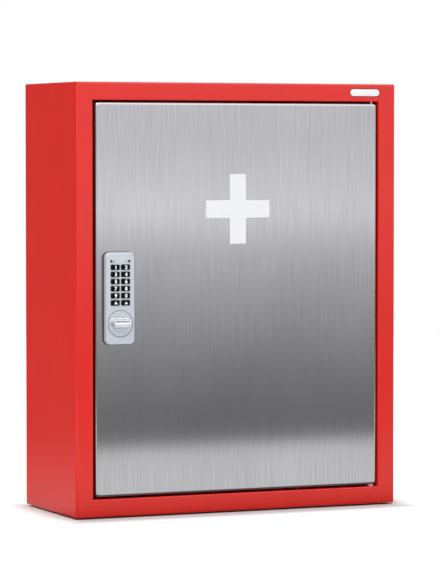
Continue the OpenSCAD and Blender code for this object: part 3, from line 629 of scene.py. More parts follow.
def finish_mesh(name: str, grid: bmesh.types.BMesh) -> Piece:
    """Makes an object of a bmesh and shades it smooth but for its sharp edges.

    Args:
        name: The piece's name.
        grid: The mesh; it is freed.

    Returns:
        The object, linked to the scene.
    """
    mesh = bpy.data.meshes.new(name)
    grid.to_mesh(mesh)
    grid.free()
    for face in mesh.polygons:
        face.use_smooth = True
    mesh.set_sharp_from_angle(angle=SHARP_EDGE)
    return show(name, mesh)


def skin(name: str, rows: list[list[Triple]], edge: float = 0.0, rings: int = 1) -> Piece:
    """A closed body through rows of points.

    Args:
        name: The piece's name.
        rows: Rows with the same number of points, the first and last closed by a face.
        edge: Radius that rounds the edge of the last row.
        rings: Segments of that rounded edge.

    Returns:
        The piece, with its place in its mesh.
    """
    grid = bmesh.new()
    corners = [[grid.verts.new(point) for point in row] for row in rows]
    grid.faces.new(reversed(corners[0]))
    front = grid.faces.new(corners[-1])
    for low, high in zip(corners, corners[1:]):
        for i, corner in enumerate(low):
            j = (i + 1) % len(low)
            grid.faces.new((corner, low[j], high[j], high[i]))
    if edge > 0.0:
        bmesh.ops.bevel(grid, geom=list(front.edges), offset=edge, segments=rings, profile=0.5,
                        affect="EDGES")
    bmesh.ops.recalc_face_normals(grid, faces=grid.faces)
    return finish_mesh(name, grid)


def loft(name: str, rings: list[Ring], centre: Pair) -> Piece:
    """A closed body through rings, given from back to front as X and Z, and Y."""
    return skin(name, [[(centre[0] + x, y, centre[1] + z) for x, z in outline]
                       for outline, y in rings])


@dataclass(frozen=True)
class Film:
    """How a thin film lies on a face: how deep its back, how far its front, and its edge."""

    sink: float
    proud: float
    edge: float
    rings: int = 1

    def cut(self, name: str, outline: Outline, centre: Pair, face: float) -> Piece:
        """A piece of the film.

        Args:
            name: The piece's name.
            outline: Its outline in X and Z about the centre, counter-clockwise.
            centre: X and Z of the centre.
            face: Y of the face that it lies on.

        Returns:
            The piece, with its place in its mesh.
        """
        rows = [[(centre[0] + x, y, centre[1] + z) for x, z in outline]
                for y in (face + self.sink, face - self.proud)]
        return skin(name, rows, self.edge, self.rings)


def coil(name: str, foot: Vector, radius: float, wire: float, length: float,
         turns: float) -> Piece:
    """A coil spring of round wire that stands upright, closed at both ends.

    Args:
        name: The piece's name.
        foot: The middle of its lower end.
        radius: From its axis to the middle of the wire.
        wire: Radius of the wire.
        length: Its height, wire included.
        turns: How many turns the wire makes.

    Returns:
        The piece, with its place in its mesh.
    """
    steps = round(turns * TURN_STEPS)
    rise = length - 2 * wire
    climb = math.atan2(rise, turns * math.tau * radius)
    rows = []
    for k in range(steps + 1):
        share = k / steps
        angle = turns * math.tau * share
        out = Vector((math.cos(angle), math.sin(angle), 0.0))
        along = Vector((-out.y * math.cos(climb), out.x * math.cos(climb), math.sin(climb)))
        side = along.cross(out)
        middle = foot + out * radius + Vector((0.0, 0.0, wire + rise * share))
        rows.append([middle + wire * (out * math.cos(turn) + side * math.sin(turn))
                     for turn in (math.tau * i / WIRE_SIDES for i in range(WIRE_SIDES))])
    return skin(name, rows)


class GroupSheet(NodeSheet):
    """A geometry node group with named inputs."""

    def __init__(self, name: str, inputs: dict[str, str]) -> None:
        """Starts a group that gives back geometry.

        Args:
            name: The group's name.
            inputs: Blender's kind of each input.
        """
        super().__init__(bpy.data.node_groups.new(name, "GeometryNodeTree"))
        sockets = self.tree.interface
        self.keys = {label: sockets.new_socket(label, in_out="INPUT",
                                               socket_type=f"NodeSocket{kind}").identifier
                     for label, kind in inputs.items()}
        sockets.new_socket("Geometry", in_out="OUTPUT", socket_type="NodeSocketGeometry")
        self.start = self.node("NodeGroupInput").outputs

    def send(self, kind: str, flow: Socket, inputs: dict | None = None,
             **options: object) -> Socket:
        """Sends geometry through a new node.

        Args:
            kind: Blender's name of the node's type.
            flow: The geometry that goes in.
            inputs: The node's other inputs, by name.
            **options: The node's own settings.

        Returns:
            The geometry that comes out.
        """
        node = self.node(kind, {"Geometry": flow, **(inputs or {})}, **options)
        return node.outputs["Geometry"]

    def put_on(self, thing: Piece, values: dict[str, object]) -> None:
        """Adds the group to an object.

        Args:
            thing: The object.
            values: The values of the group's inputs.
        """
        nodes = thing.modifiers.new(self.tree.name, "NODES")
        nodes.node_group = self.tree
        for name, value in values.items():
            nodes[self.keys[name]] = value


class CrispShading(GroupSheet):
    """Geometry nodes that weld a node's triangles and shade its curves smooth."""

    def __init__(self, weld: float = 0.00001, sharp: float = 32.0) -> None:
        """Builds the tree.

        Args:
            weld: Distance within which corners are one.
            sharp: Angle in degrees above which an edge stays sharp.
        """
        self.values = {"Weld": weld, "Sharp": math.radians(sharp)}
        super().__init__("crisp_shading",
                         {"Geometry": "Geometry", "Weld": "Float", "Sharp": "Float"})
        flow = self.send("GeometryNodeRemoveAttribute", self.start["Geometry"],
                         {"Name": "custom_normal"})
        flow = self.send("GeometryNodeMergeByDistance", flow, {"Distance": self.start["Weld"]})
        flow = self.send("GeometryNodeSetShadeSmooth", flow)
        angle = self.node("GeometryNodeInputMeshEdgeAngle").outputs["Unsigned Angle"]
        flat = self.node("FunctionNodeCompare", {0: angle, 1: self.start["Sharp"]},
                         operation="LESS_THAN")
        flow = self.send("GeometryNodeSetShadeSmooth", flow,
                         {"Shade Smooth": flat.outputs["Result"]}, domain="EDGE")
        self.node("NodeGroupOutput", {"Geometry": flow})

    def on(self, node: Piece) -> None:
        """Shades a CAD node, and keeps its flat faces flat beside the bends.

        Args:
            node: The node.
        """
        self.put_on(node, self.values)
        level = node.modifiers.new("flat_faces", "WEIGHTED_NORMAL")
        level.mode = "FACE_AREA"
        level.weight = 100
        level.keep_sharp = True


class SpotWelds(GroupSheet):
    """Geometry nodes that lay a row of spot weld marks."""

    def __init__(self, radius: float = 0.0027, height: float = 0.00025,
                 crown: float = 0.72) -> None:
        """Builds the tree.

        Args:
            radius: Radius of a mark at its foot.
            height: Height of a mark.
            crown: The share of the radius that is left at its top.
        """
        self.size = {"Radius": radius, "Height": height}
        super().__init__("spot_welds", {
            "Count": "Int", "Start": "Vector", "Step": "Vector", "Turn": "Vector",
            "Radius": "Float", "Height": "Float", "Finish": "Material"})
        start = self.start
        line = self.node("GeometryNodeMeshLine",
                         {"Count": start["Count"], "Start Location": start["Start"],
                          "Offset": start["Step"]})
        top = self.math("MULTIPLY", start["Radius"], crown)
        mark = self.node("GeometryNodeMeshCone",
                         {"Vertices": MARK_SIDES, "Radius Bottom": start["Radius"],
                          "Radius Top": top, "Depth": start["Height"]})
        spin = self.node("FunctionNodeEulerToRotation", {"Euler": start["Turn"]})
        place = self.node("GeometryNodeInstanceOnPoints",
                          {"Points": line.outputs["Mesh"], "Instance": mark.outputs["Mesh"],
                           "Rotation": spin.outputs["Rotation"]})
        flow = self.send("GeometryNodeRealizeInstances", place.outputs["Instances"])
        flow = self.send("GeometryNodeSetMaterial", flow, {"Material": start["Finish"]})
        self.node("NodeGroupOutput", {"Geometry": flow})

    def row(self, grid: bmesh.types.BMesh, finish: Material, count: int, start: Triple,
            step: Triple, turn: Triple) -> None:
        """Adds one row of marks to a mesh.

        Args:
            grid: The mesh that takes the row.
            finish: The marks' material.
            count: How many marks.
            start: Foot of the first mark.
            step: From one mark to the next.
            turn: Turns the mark from +Z to the surface's normal, in radians.
        """
        seed = show("weld_row", bpy.data.meshes.new("weld_row"))
        self.put_on(seed, {"Count": count, "Start": start, "Step": step, "Turn": turn,
                           "Finish": finish, **self.size})
        made = melt(seed)
        grid.from_mesh(made)
        bpy.data.meshes.remove(made)


# ------------------------------------------------------------ sub-assemblies


@dataclass
class Wardrobe:
    """The cabinet's materials, each made once, and what dresses nodes and pieces in them."""

    shading: CrispShading = field(default_factory=CrispShading)
    made: dict[str, Material] = field(default_factory=dict)

    def coat(self, finish: Finish | Slot) -> Material:
        """The material of a finish.

        Args:
            finish: The finish, or the slot that has it.

        Returns:
            The material.
        """
        if isinstance(finish, Slot):
            finish = finish.value
        if finish.name not in self.made:
            self.made[finish.name] = finish.material()
        return self.made[finish.name]

    def nodes(self, slot: Slot, *names: str) -> None:
        """Gives CAD nodes their finish and their smooth curves.

        Args:
            slot: The finish.
            *names: The nodes.
        """
        for name in names:
            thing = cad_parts[name]
            thing.data.materials.clear()
            thing.data.materials.append(self.coat(slot))
            self.shading.on(thing)

    def dress(self, piece: Piece, finish: Finish | Slot, body: str,
              slot: Slot | None = None) -> None:
        """Gives a new piece its material and body, and reports it.

        Args:
            piece: The piece.
            finish: Its finish, or the slot that has it.
            body: The body it rides on.
            slot: Not used.
        """
        piece.data.materials.clear()
        piece.data.materials.append(self.coat(finish))
        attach(piece, body)
        LOG.info("piece %s on %s: %d faces", piece.name, body, len(piece.data.polygons))


@dataclass
class Housing:
    """The painted steel box with its shelves and fittings."""

    wardrobe: Wardrobe
    badge_centre: Pair = (0.1605, 0.2349)
    badge_size: Pair = (0.0374, 0.0078)
    badge_film: Film = Film(0.0, 0.0004, 0.0002, 2)
    badge_white: Print = Print("badge_film")
    rim: float = 0.0008
    rim_film: Film = Film(0.0002, 0.00012, 0.0001)
    rim_line: Print = Print("badge_line", (0.24, 0.006, 0.014))
    lip_sheet: float = 0.0012
    weld_pitch: float = 0.058
    weld_margin: float = 0.05
    weld_depth: float = 0.55

    def finish_nodes(self) -> None:
        """Dresses the CAD nodes of the box."""
        self.wardrobe.nodes(Slot.RED, "carcass", "back_panel", "rail_left_front",
                            "rail_left_rear", "rail_right_front", "rail_right_rear",
                            "door_stops")
        self.wardrobe.nodes(Slot.ZINC, "shelf_clips")
        self.wardrobe.nodes(Slot.SHELF, "shelf_lower", "shelf_upper")
        self.wardrobe.nodes(Slot.NYLON, "pivot_bush_top", "pivot_bush_bottom")
        self.wardrobe.nodes(Slot.RUBBER, "door_buffers")

    def badge(self) -> None:
        """A bare white badge on the frame, with a thin dark line round it."""
        face = front_of("carcass")
        wide, high = self.badge_size
        for name, film, ink, rim in (("badge_rim", self.rim_film, self.rim_line, self.rim),
                                     ("badge", self.badge_film, self.badge_white, 0.0)):
            outline = pill_outline(wide + 2 * rim, high + 2 * rim, high)
            piece = film.cut(name, outline, self.badge_centre, face)
            self.wardrobe.dress(piece, ink, "cabinet")

    def welds(self, marks: SpotWelds) -> None:
        """Spot weld marks along the back panel's four lips, inside the box.

        Args:
            marks: What lays a row of them.
        """
        low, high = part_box("back_panel")
        finish = self.wardrobe.coat(Slot.RED)
        depth, quarter, pitch = low.y * self.weld_depth, math.pi / 2, self.weld_pitch
        grid = bmesh.new()
        for reach, length, across in ((high.x, high.z - low.z, False),
                                      (high.z, high.x - low.x, True)):
            count = int((length - self.weld_margin) / pitch) + 1
            first = -(count - 1) * pitch / 2
            for side in (-1.0, 1.0):
                wall = side * (reach - self.lip_sheet + WELD_SINK)
                if across:
                    start, step = (first, depth, wall), (pitch, 0.0, 0.0)
                    turn = (quarter * (1.0 + side), 0.0, 0.0)
                else:
                    start, step = (wall, depth, first), (0.0, 0.0, pitch)
                    turn = (0.0, -side * quarter, 0.0)
                marks.row(grid, finish, count, start, step, turn)
        self.wardrobe.dress(finish_mesh("back_welds", grid), Slot.RED, "cabinet")


@dataclass
class DoorLeaf:
    """The stainless door with its white cross and pivots."""

    wardrobe: Wardrobe
    cross_centre: Pair = (-0.0013, 0.1012)
    cross_size: float = 0.0795
    cross_arm: float = 0.020
    cross_corner: float = 0.0006
    cross_film: Film = Film(0.0001, 0.00025, 0.00012)
    cross_white: Print = Print("cross_film", (0.93, 0.94, 0.975))
    weld_edge: float = 0.009
    weld_count: int = 7
    spring_wire: float = 0.0005
    spring_turns: float = 7.0

    def finish_nodes(self) -> None:
        """Dresses the CAD nodes of the door."""
        self.wardrobe.nodes(Slot.STEEL, "door_skin", "door_liner")
        self.wardrobe.nodes(Slot.ZINC, "door_stiffener", "pivot_block_top",
                            "pivot_block_bottom", "pivot_pin_bottom", "pivot_pin_top",
                            "release_tab")

    def cross(self) -> None:
        """The white film cross on the door's face."""
        a, b = self.cross_size / 2, self.cross_arm / 2
        corners = [(-b, -a), (b, -a), (b, -b), (a, -b), (a, b), (b, b),
                   (b, a), (-b, a), (-b, b), (-a, b), (-a, -b), (-b, -b)]
        outline = outline_with_corners(corners, self.cross_corner, steps=3)
        film = self.cross_film.cut("door_cross", outline, self.cross_centre,
                                   front_of("door_skin"))
        self.wardrobe.dress(film, self.cross_white, "door")

    def welds(self, marks: SpotWelds) -> None:
        """Spot weld marks down both long edges of the liner's inner face.

        Args:
            marks: What lays a row of them.
        """
        low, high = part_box("door_liner")
        finish = self.wardrobe.coat(Slot.STEEL)
        first = low.z + 3 * self.weld_edge
        step = (high.z - low.z - 6 * self.weld_edge) / (self.weld_count - 1)
        grid = bmesh.new()
        for x in (low.x + self.weld_edge, high.x - self.weld_edge):
            marks.row(grid, finish, self.weld_count, (x, high.y - WELD_SINK, first),
                      (0.0, 0.0, step), (-math.pi / 2, 0.0, 0.0))
        self.wardrobe.dress(finish_mesh("liner_welds", grid), Slot.STEEL, "door")

    def spring(self) -> None:
        """The upper pin's spring as a rigid coil; the real one is pressed together as the pin is
        drawn down.
        """
        low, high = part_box("pivot_spring")
        wire, length = self.spring_wire / 2, high.z - low.z
        foot = Vector(((low.x + high.x) / 2, (low.y + high.y) / 2, low.z))
        piece = coil("pin_spring", foot, (high.x - low.x) / 2 - wire, wire, length,
                     self.spring_turns)
        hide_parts("pivot_spring")
        self.wardrobe.dress(piece, Slot.ZINC, "door")
        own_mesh(piece)


@dataclass
class TurnKnob:
    """The turn knob: a lacquered disc that carries a scooped chrome grip.

    The grip's foot and front are each a width, a height and a corner's radius. Its scoop is a
    list of heights over the knob's axis, each with the depth there. The fillet at its foot has
    a middle ring at a share of its radius, the bend.
    """

    wardrobe: Wardrobe
    bore_play: float = 0.00003
    bore_over: float = 0.0001
    disc_radius: float = 0.0146
    disc_proud: float = 0.0006
    disc_edge: float = 0.0004
    disc_turns: tuple[int, ...] = (30, 60, 90)
    foot: Triple = (0.0242, 0.0112, 0.0046)
    front: Triple = (0.0232, 0.0086, 0.0036)
    root: float = 0.0003
    fillet: float = 0.0006
    fillet_bend: float = 0.3
    side_rings: int = 3
    grip_proud: float = 0.0064
    edge: float = 0.0006
    edge_turns: tuple[int, ...] = (20, 35, 50, 65, 80, 90)
    scoop: tuple[Pair, ...] = (
        (-0.0043, 0.00090), (0.0002, 0.00115), (0.0012, 0.00160), (0.0037, 0.0))
    scoop_end: float = 0.0020
    scoop_rings: tuple[float, ...] = (0.96, 0.88, 0.78, 0.66, 0.52, 0.38, 0.26, 0.13)
    chrome: SatinChrome = SatinChrome("satin_chrome")

    def carrier(self, centre: Pair, rear: float, face: float) -> None:
        """The disc, with the bore for the spindle in its back.

        Args:
            centre: X and Z of the knob's axis.
            rear: Y of its back.
            face: Y of its front face.
        """
        low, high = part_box("spindle")
        bore, rim = disc((high.x - low.x) / 2 + self.bore_play), disc(self.disc_radius)
        rings = [(bore, low.y - self.bore_over), (bore, rear), (rim, rear),
                 (rim, face + self.disc_edge)]
        rings += rounded_edge(lambda inset: disc(self.disc_radius - inset), face,
                              self.disc_edge, self.disc_turns)
        rings.append((disc(self.disc_radius - 2 * self.disc_edge), face))
        piece = loft("knob_disc", rings, centre)
        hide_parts("knob")
        self.wardrobe.dress(piece, Slot.SILVER, "knob")

    def hollow(self, across: float, up: float) -> float:
        """How deep the finger scoop lies at a place on the grip's front.

        Args:
            across: X from the knob's axis.
            up: Z from the knob's axis.

        Returns:
            The depth.
        """
        end = (self.front[0] / 2 - self.edge - abs(across)) / self.scoop_end
        depth = 0.0
        for (z_0, d_0), (z_1, d_1) in zip(self.scoop, self.scoop[1:]):
            if z_0 <= up <= z_1:
                depth = d_0 + (d_1 - d_0) * (up - z_0) / (z_1 - z_0)
        return depth * min(1.0, max(0.0, end))

    def grip(self, centre: Pair, face: float, tip: float) -> None:
        """The grip: a tapered pill with rounded edges and a finger scoop in its front.

        Args:
            centre: X and Z of the knob's axis.
            face: Y of the disc's front face.
            tip: Y of the grip's front.
        """
        def outline(share: float, inset: float) -> Outline:
            """The pill a share of the way from foot to front, drawn in by inset."""
            wide, high, corner = (a + (b - a) * share for a, b in zip(self.foot, self.front))
            return ring(wide - 2 * inset, high - 2 * inset, corner - inset)

        flare, bend = self.fillet, self.fillet_bend * self.fillet
        shoulder, start = face - flare, tip + self.edge
        rings = [(outline(0.0, -flare), face + self.root), (outline(0.0, -flare), face),
                 (outline(0.0, -bend), face - bend), (outline(0.0, 0.0), shoulder)]
        for k in range(1, self.side_rings + 1):
            share = k / self.side_rings
            rings.append((outline(share, 0.0), shoulder + (start - shoulder) * share))
        rings += rounded_edge(lambda inset: outline(1.0, inset), tip, self.edge, self.edge_turns)
        wide, high, corner = (v - k * self.edge for v, k in zip(self.front, (2, 2, 1)))
        rings += [(ring(wide * share, high * share, corner * share), tip)
                  for share in self.scoop_rings]
        piece = loft("knob_grip", rings, centre)
        for vertex in piece.data.vertices:
            share = min(1.0, max(0.0, (shoulder - vertex.co.y) / (shoulder - start)))
            vertex.co.y += share * self.hollow(vertex.co.x - centre[0],
                                               vertex.co.z - centre[1])
        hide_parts("knob")
        self.wardrobe.dress(piece, self.chrome, "knob", Slot.SILVER)

    def build(self) -> None:
        """Makes both pieces in the space of the solid knob."""
        centre = middle_of("knob")
        face = front_of("lock_housing") - self.disc_proud
        self.carrier(centre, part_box("knob")[1].y, face)
        self.grip(centre, face, face - self.grip_proud)


@dataclass
class KeypadLock:
    """The keypad lock: housing, keys, lamps, case and screws.

    A lens's dome is a list of shares of its head's radius, each with its rise from the face.
    A padlock's bow is half a ring on two straight legs. A digit's height is a share of its
    font's size, and a mark's shape is drawn in heights of a legend.
    """

    wardrobe: Wardrobe
    lens_head: float = 0.00155
    lens_dome: tuple[Pair, ...] = (
        (1.0, 0.0), (1.0, 0.0001), (0.95, 0.00022), (0.72, 0.00034), (0.35, 0.0004))
    lens_points: int = 40
    padlock_film: Film = Film(0.00002, 0.00004, 0.00001)
    padlock_ink: Print = Print("grey_ink", (0.22, 0.22, 0.235))
    padlock_beside: float = 0.0034
    padlock_body: Triple = (0.0017, 0.0011, 0.0002)
    padlock_drop: float = 0.0005
    bow_radii: Pair = (0.00062, 0.00036)
    bow_leg: float = 0.0005
    bow_steps: int = 8
    bow_lift: float = 0.00005
    bow_slip: float = 0.0008
    legend_high: float = 0.0040
    legend_right: float = 0.0005
    legend_bold: float = 0.07
    legend_rise: float = 0.00004
    legend_curve: int = 4
    legend_ink: Print = Print("key_ink", (0.98, 0.98, 0.98))
    digit_share: float = 0.7
    mark_film: Film = Film(0.00004, 0.00006, 0.00003)
    mark_corner: float = 0.0003
    mark_shapes: tuple[tuple[Pair, ...], ...] = (
        ((-0.5, -0.4), (0.5, -0.4), (0.15, 0.35), (-0.15, 0.35)),
        ((-0.5, -0.4), (0.5, -0.4), (0.0, 0.42)))

    def finish_nodes(self) -> None:
        """Dresses the CAD nodes of the lock."""
        self.wardrobe.nodes(Slot.SILVER, "lock_housing")
        self.wardrobe.nodes(Slot.RUBBER, "lock_gasket", "key_mat", "battery_lead")
        self.wardrobe.nodes(Slot.KEY, *KEYS)
        self.wardrobe.nodes(Slot.PLASTIC, "lock_case", "battery_cover")
        self.wardrobe.nodes(Slot.ZINC, "lock_tube", "lock_screws", "spindle", "cam",
                            "cam_screw")
        self.wardrobe.nodes(Slot.BOARD, "circuit_board")
        self.wardrobe.nodes(Slot.SLEEVE, "batteries")

    def lenses(self) -> None:
        """The two lamps: light pipes whose domed heads sit on the housing's face."""
        face = front_of("lock_housing")
        for name, slot in (("lamp_red", Slot.RED_LENS), ("lamp_green", Slot.GREEN_LENS)):
            low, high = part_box(name)
            stem = disc((high.x - low.x) / 2, self.lens_points)
            rings = [(stem, high.y), (stem, face)]
            rings += [(disc(self.lens_head * share, self.lens_points), face - rise)
                      for share, rise in self.lens_dome]
            piece = loft(name.replace("lamp", "lens"), rings, middle_of(name))
            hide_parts(name)
            self.wardrobe.dress(piece, slot, "door")

    def padlocks(self) -> None:
        """A small printed padlock beside each lamp, shut by the red and open by the green."""
        face = front_of("lock_housing")
        outer, inner = self.bow_radii
        span = [math.pi * k / self.bow_steps for k in range(self.bow_steps + 1)]
        bow = [(outer, 0.0)]
        bow += [(outer * math.cos(a), self.bow_leg + outer * math.sin(a)) for a in span]
        bow += [(-outer, 0.0), (-inner, 0.0)]
        bow += [(-inner * math.cos(a), self.bow_leg + inner * math.sin(a)) for a in span]
        bow += [(inner, 0.0)]
        body = pill_outline(*self.padlock_body, steps=3)
        for name, lamp, side, slip in (("shut", "lamp_red", 1.0, 0.0),
                                       ("open", "lamp_green", -1.0, self.bow_slip)):
            x, z = middle_of(lamp)
            x += side * self.padlock_beside
            for part, outline, centre in (("body", body, (x, z - self.padlock_drop)),
                                          ("bow", bow, (x - slip, z + self.bow_lift))):
                piece = self.padlock_film.cut(f"mark_{name}_{part}", outline, centre, face)
                self.wardrobe.dress(piece, self.padlock_ink, "door")

    def digit(self, name: str, text: str, centre: Pair, face: float) -> Piece:
        """A raised digit on a key.

        Args:
            name: The piece's name.
            text: The digit.
            centre: X and Z of its middle.
            face: Y of the key's face.

        Returns:
            The piece.
        """
        curve = bpy.data.curves.new(name, "FONT")
        curve.body = text
        curve.size = self.legend_high / self.digit_share
        curve.offset = self.legend_high * self.legend_bold
        curve.extrude = self.legend_rise
        curve.resolution_u = self.legend_curve
        mesh = melt(show(name, curve))
        bpy.data.curves.remove(curve)
        xs = [v.co.x for v in mesh.vertices]
        ys = [v.co.y for v in mesh.vertices]
        middle = Vector(((min(xs) + max(xs)) / 2, (min(ys) + max(ys)) / 2, 0.0))
        mesh.transform(Matrix.Translation(Vector((centre[0], face, centre[1])))
                       @ Matrix.Rotation(math.pi / 2, 4, "X") @ Matrix.Translation(-middle))
        mesh.name = name
        return show(name, mesh)

    def legends(self) -> None:
        """Digits on the first ten keys and a mark on each of the last two."""
        high, digits = self.legend_high, len(KEYS) - len(self.mark_shapes)
        for i, key in enumerate(KEYS, 1):
            x, z = middle_of(key)
            name, centre, face = f"legend_{i}", (x + self.legend_right, z), front_of(key)
            if i <= digits:
                piece = self.digit(name, str(i % 10), centre, face)
            else:
                shape = [(a * high, b * high) for a, b in self.mark_shapes[i - digits - 1]]
                outline = outline_with_corners(shape, self.mark_corner, steps=3)
                piece = self.mark_film.cut(name, outline, centre, face)
            self.wardrobe.dress(piece, self.legend_ink, key)


@dataclass
class Studio:
    """Floor, light and camera.

    The floor is there twice: as the camera sees it, and with other tones as shiny faces
    mirror it. A span is the stretch over which a tone changes. The card's stops are heights
    over the floor, each with the tone there.
    """

    floor_z: float = -0.2468
    floor_radius: float = 3.2
    floor_colour: tuple[float, ...] = (0.64, 0.64, 0.64, 1.0)
    glow: float = 0.5
    glow_span: Pair = (0.0, 0.03)
    mirror_drop: float = 0.0005
    mirror_begin_span: Pair = (-0.95, -0.91)
    mirror_front_span: Pair = (-0.36, -0.2)
    mirror_front: float = 1.12
    mirror_foot: float = 0.15
    mirror_beside_span: Pair = (-0.15, -0.05)
    mirror_near: float = 0.5
    mirror_behind_span: Pair = (0.0, 1.2)
    mirror_far: float = 0.02
    sky_radius: float = 25.0
    card_x: Pair = (-1.1, 2.0)
    card_y: float = -0.98
    card_top: float = 1.1
    card_stops: tuple[Pair, ...] = (
        (0.0, 0.20), (0.10, 0.385), (0.20, 0.67), (0.265, 0.90), (0.325, 1.33),
        (0.42, 1.10), (0.54, 1.08), (0.62, 2.0))
    card_tint: Colour = (0.995, 0.99, 1.02)
    card_fall_span: Pair = (0.1, 0.7)
    card_fall: Pair = (1.05, 0.98)
    room_tone: float = 0.18
    top_span: Pair = (0.45, 0.85)
    top_tone: float = 2.0
    wall_way: Triple = (0.405, 0.913, 0.05)
    wall_span: Pair = (0.86, 0.97)
    wall_tone: float = 1.35
    light_place: Triple = (-1.05, -1.05, 1.4)
    light_aim: Triple = (0.0, -0.12, 0.1)
    light_size: Pair = (0.8, 0.6)
    light_power: float = 9.6
    camera_place: Triple = (-1.46807, -3.41731, 0.17090)
    camera_turn: Triple = (math.pi / 2 - 0.0448210, 0.0, -0.4174033)
    camera_lens: float = 195.29
    camera_sensor: float = 36.0
    camera_reach: Pair = (0.1, 60.0)

    def table(self, height: float) -> bmesh.types.BMesh:
        """A wide flat disc.

        Args:
            height: Its Z.

        Returns:
            Its mesh.
        """
        grid = bmesh.new()
        bmesh.ops.create_circle(grid, cap_ends=True, segments=RING_POINTS,
                                radius=self.floor_radius)
        bmesh.ops.translate(grid, verts=grid.verts, vec=(0.0, 0.0, height))
        return grid

    def stand(self, name: str, grid: bmesh.types.BMesh, sheet: FinishSheet,
              *unseen: str) -> None:
        """Puts up a piece of the studio.

        Args:
            name: Its name.
            grid: Its mesh.
            sheet: Its material's sheet.
            *unseen: The kinds of ray that it is hidden from.
        """
        piece = finish_mesh(name, grid)
        piece.data.materials.append(sheet.material)
        for ray in unseen:
            setattr(piece, f"visible_{ray}", False)

    def floor(self) -> None:
        """A wide pale table that fades in brightness under the object."""
        sheet = FinishSheet("floor_white")
        low, high = CAD_BOX
        away = []
        for axis, least, most in (("X", low.x, high.x), ("Y", low.y, high.y)):
            shift = sheet.math("SUBTRACT", sheet.axis(axis), (least + most) / 2)
            far = sheet.math("SUBTRACT", sheet.math("ABSOLUTE", shift), (most - least) / 2)
            away.append(sheet.math("MAXIMUM", far, 0.0))
        distance = sheet.math("MAXIMUM", *away)
        sheet.set(Base_Color=self.floor_colour, Roughness=0.9, Specular_IOR_Level=0.1,
                  Emission_Color=WHITE,
                  Emission_Strength=sheet.remap(distance, *self.glow_span, 0.0, self.glow))
        self.stand("floor", self.table(self.floor_z), sheet, "glossy")

    def mirrored_floor(self) -> None:
        """What shiny faces mirror of the table: bright far before it, dim near and behind."""
        sheet = FinishSheet("floor_tones")
        y = sheet.axis("Y")
        bright = sheet.remap(y, *self.mirror_front_span, self.mirror_front, self.mirror_foot)
        begin = sheet.remap(y, *self.mirror_begin_span, self.mirror_foot, 1.0)
        beside = sheet.remap(y, *self.mirror_beside_span, 0.0, self.mirror_near)
        behind = sheet.remap(y, *self.mirror_behind_span, 1.0,
                             self.mirror_far / self.mirror_near)
        sheet.glow(sheet.math("MAXIMUM", sheet.math("MULTIPLY", bright, begin),
                              sheet.math("MULTIPLY", beside, behind)))
        self.stand("floor_mirrored", self.table(self.floor_z - self.mirror_drop), sheet,
                   "camera", "diffuse", "shadow")

    def sky(self) -> None:
        """A white shell round everything, seen only straight from the camera."""
        grid = bmesh.new()
        bmesh.ops.create_icosphere(grid, subdivisions=4, radius=self.sky_radius)
        sheet = FinishSheet("backdrop_white")
        sheet.glow(1.0)
        self.stand("backdrop", grid, sheet, "glossy", "diffuse", "shadow", "transmission")

    def card(self) -> None:
        """A shaded card before the door, seen only in what shiny faces mirror."""
        (left, right), top = self.card_x, self.card_top
        grid = bmesh.new()
        grid.faces.new([grid.verts.new((x, self.card_y, z)) for x, z in (
            (left, self.floor_z), (right, self.floor_z), (right, top), (left, top))])
        sheet = FinishSheet("card_shades")
        height = sheet.math("SUBTRACT", sheet.axis("Z"), self.floor_z)
        ramp = sheet.node("ShaderNodeValToRGB", {"Fac": height})
        stops = ramp.color_ramp.elements
        for k, (place, tone) in enumerate(self.card_stops):
            stop = stops[k] if k < len(stops) else stops.new(place)
            stop.position = place
            stop.color = (*(tone * part for part in self.card_tint), 1.0)
        strength = sheet.remap(sheet.axis("X"), *self.card_fall_span, *self.card_fall)
        sheet.glow(strength, ramp.outputs["Color"])
        self.stand("reflection_card", grid, sheet, "camera", "diffuse", "shadow")

    def world(self) -> None:
        """A grey room with a bright ceiling and a white wall behind the object."""
        room = bpy.data.worlds.new("room")
        bpy.context.scene.world = room
        room.use_nodes = True
        sheet = NodeSheet(room.node_tree)
        way = sheet.node("ShaderNodeTexCoord").outputs["Generated"]
        up = sheet.node("ShaderNodeSeparateXYZ", {"Vector": way}).outputs["Z"]
        wall = sheet.node("ShaderNodeVectorMath", {0: way, 1: self.wall_way},
                          operation="DOT_PRODUCT").outputs["Value"]
        total = self.room_tone
        for source, span, tone in ((up, self.top_span, self.top_tone),
                                   (wall, self.wall_span, self.wall_tone)):
            total = sheet.math("ADD", sheet.remap(source, *span, 0.0, tone, "SMOOTHSTEP"), total)
        back = sheet.node("ShaderNodeBackground", {"Strength": total})
        sheet.node("ShaderNodeOutputWorld", {"Surface": back.outputs["Background"]})

    def light(self) -> None:
        """The soft box before the object, high up on the left."""
        data = bpy.data.lights.new("key_box", "AREA")
        data.shape = "RECTANGLE"
        data.size, data.size_y = self.light_size
        data.energy = self.light_power
        box = show("key_box", data)
        way = Vector(self.light_aim) - Vector(self.light_place)
        box.location = self.light_place
        box.rotation_euler = way.to_track_quat("-Z", "Y").to_euler()
        box.visible_camera = False

    def camera(self) -> None:
        """The camera of the main view."""
        data = bpy.data.cameras.new("camera")
        data.sensor_width = self.camera_sensor
        data.lens = self.camera_lens
        data.clip_start, data.clip_end = self.camera_reach
        eye = show("camera", data)
        eye.location = self.camera_place
        eye.rotation_euler = self.camera_turn
        bpy.context.scene.camera = eye

    def build(self) -> None:
        """Sets up the whole studio."""
        self.camera()
        self.floor()
        self.mirrored_floor()
        self.sky()
        self.card()
        self.world()
        self.light()
        bpy.context.scene.view_settings.view_transform = "Standard"


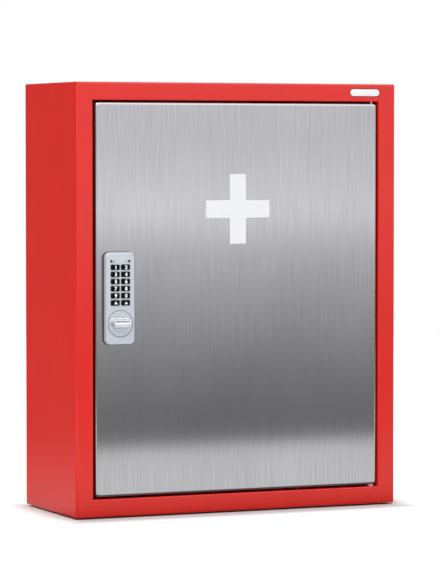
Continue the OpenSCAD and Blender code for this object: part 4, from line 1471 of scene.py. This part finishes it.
def main() -> None:
    """Builds the sub-assemblies in order."""
    logging.basicConfig(level=logging.INFO, format="%(message)s")
    wardrobe = Wardrobe()
    Studio().build()
    housing, door, lock = Housing(wardrobe), DoorLeaf(wardrobe), KeypadLock(wardrobe)
    marks = SpotWelds()
    for part in (housing, door, lock):
        part.finish_nodes()
    housing.badge()
    housing.welds(marks)
    door.cross()
    door.welds(marks)
    door.spring()
    lock.lenses()
    lock.padlocks()
    lock.legends()
    TurnKnob(wardrobe).build()


if __name__ == "__main__":
    main()
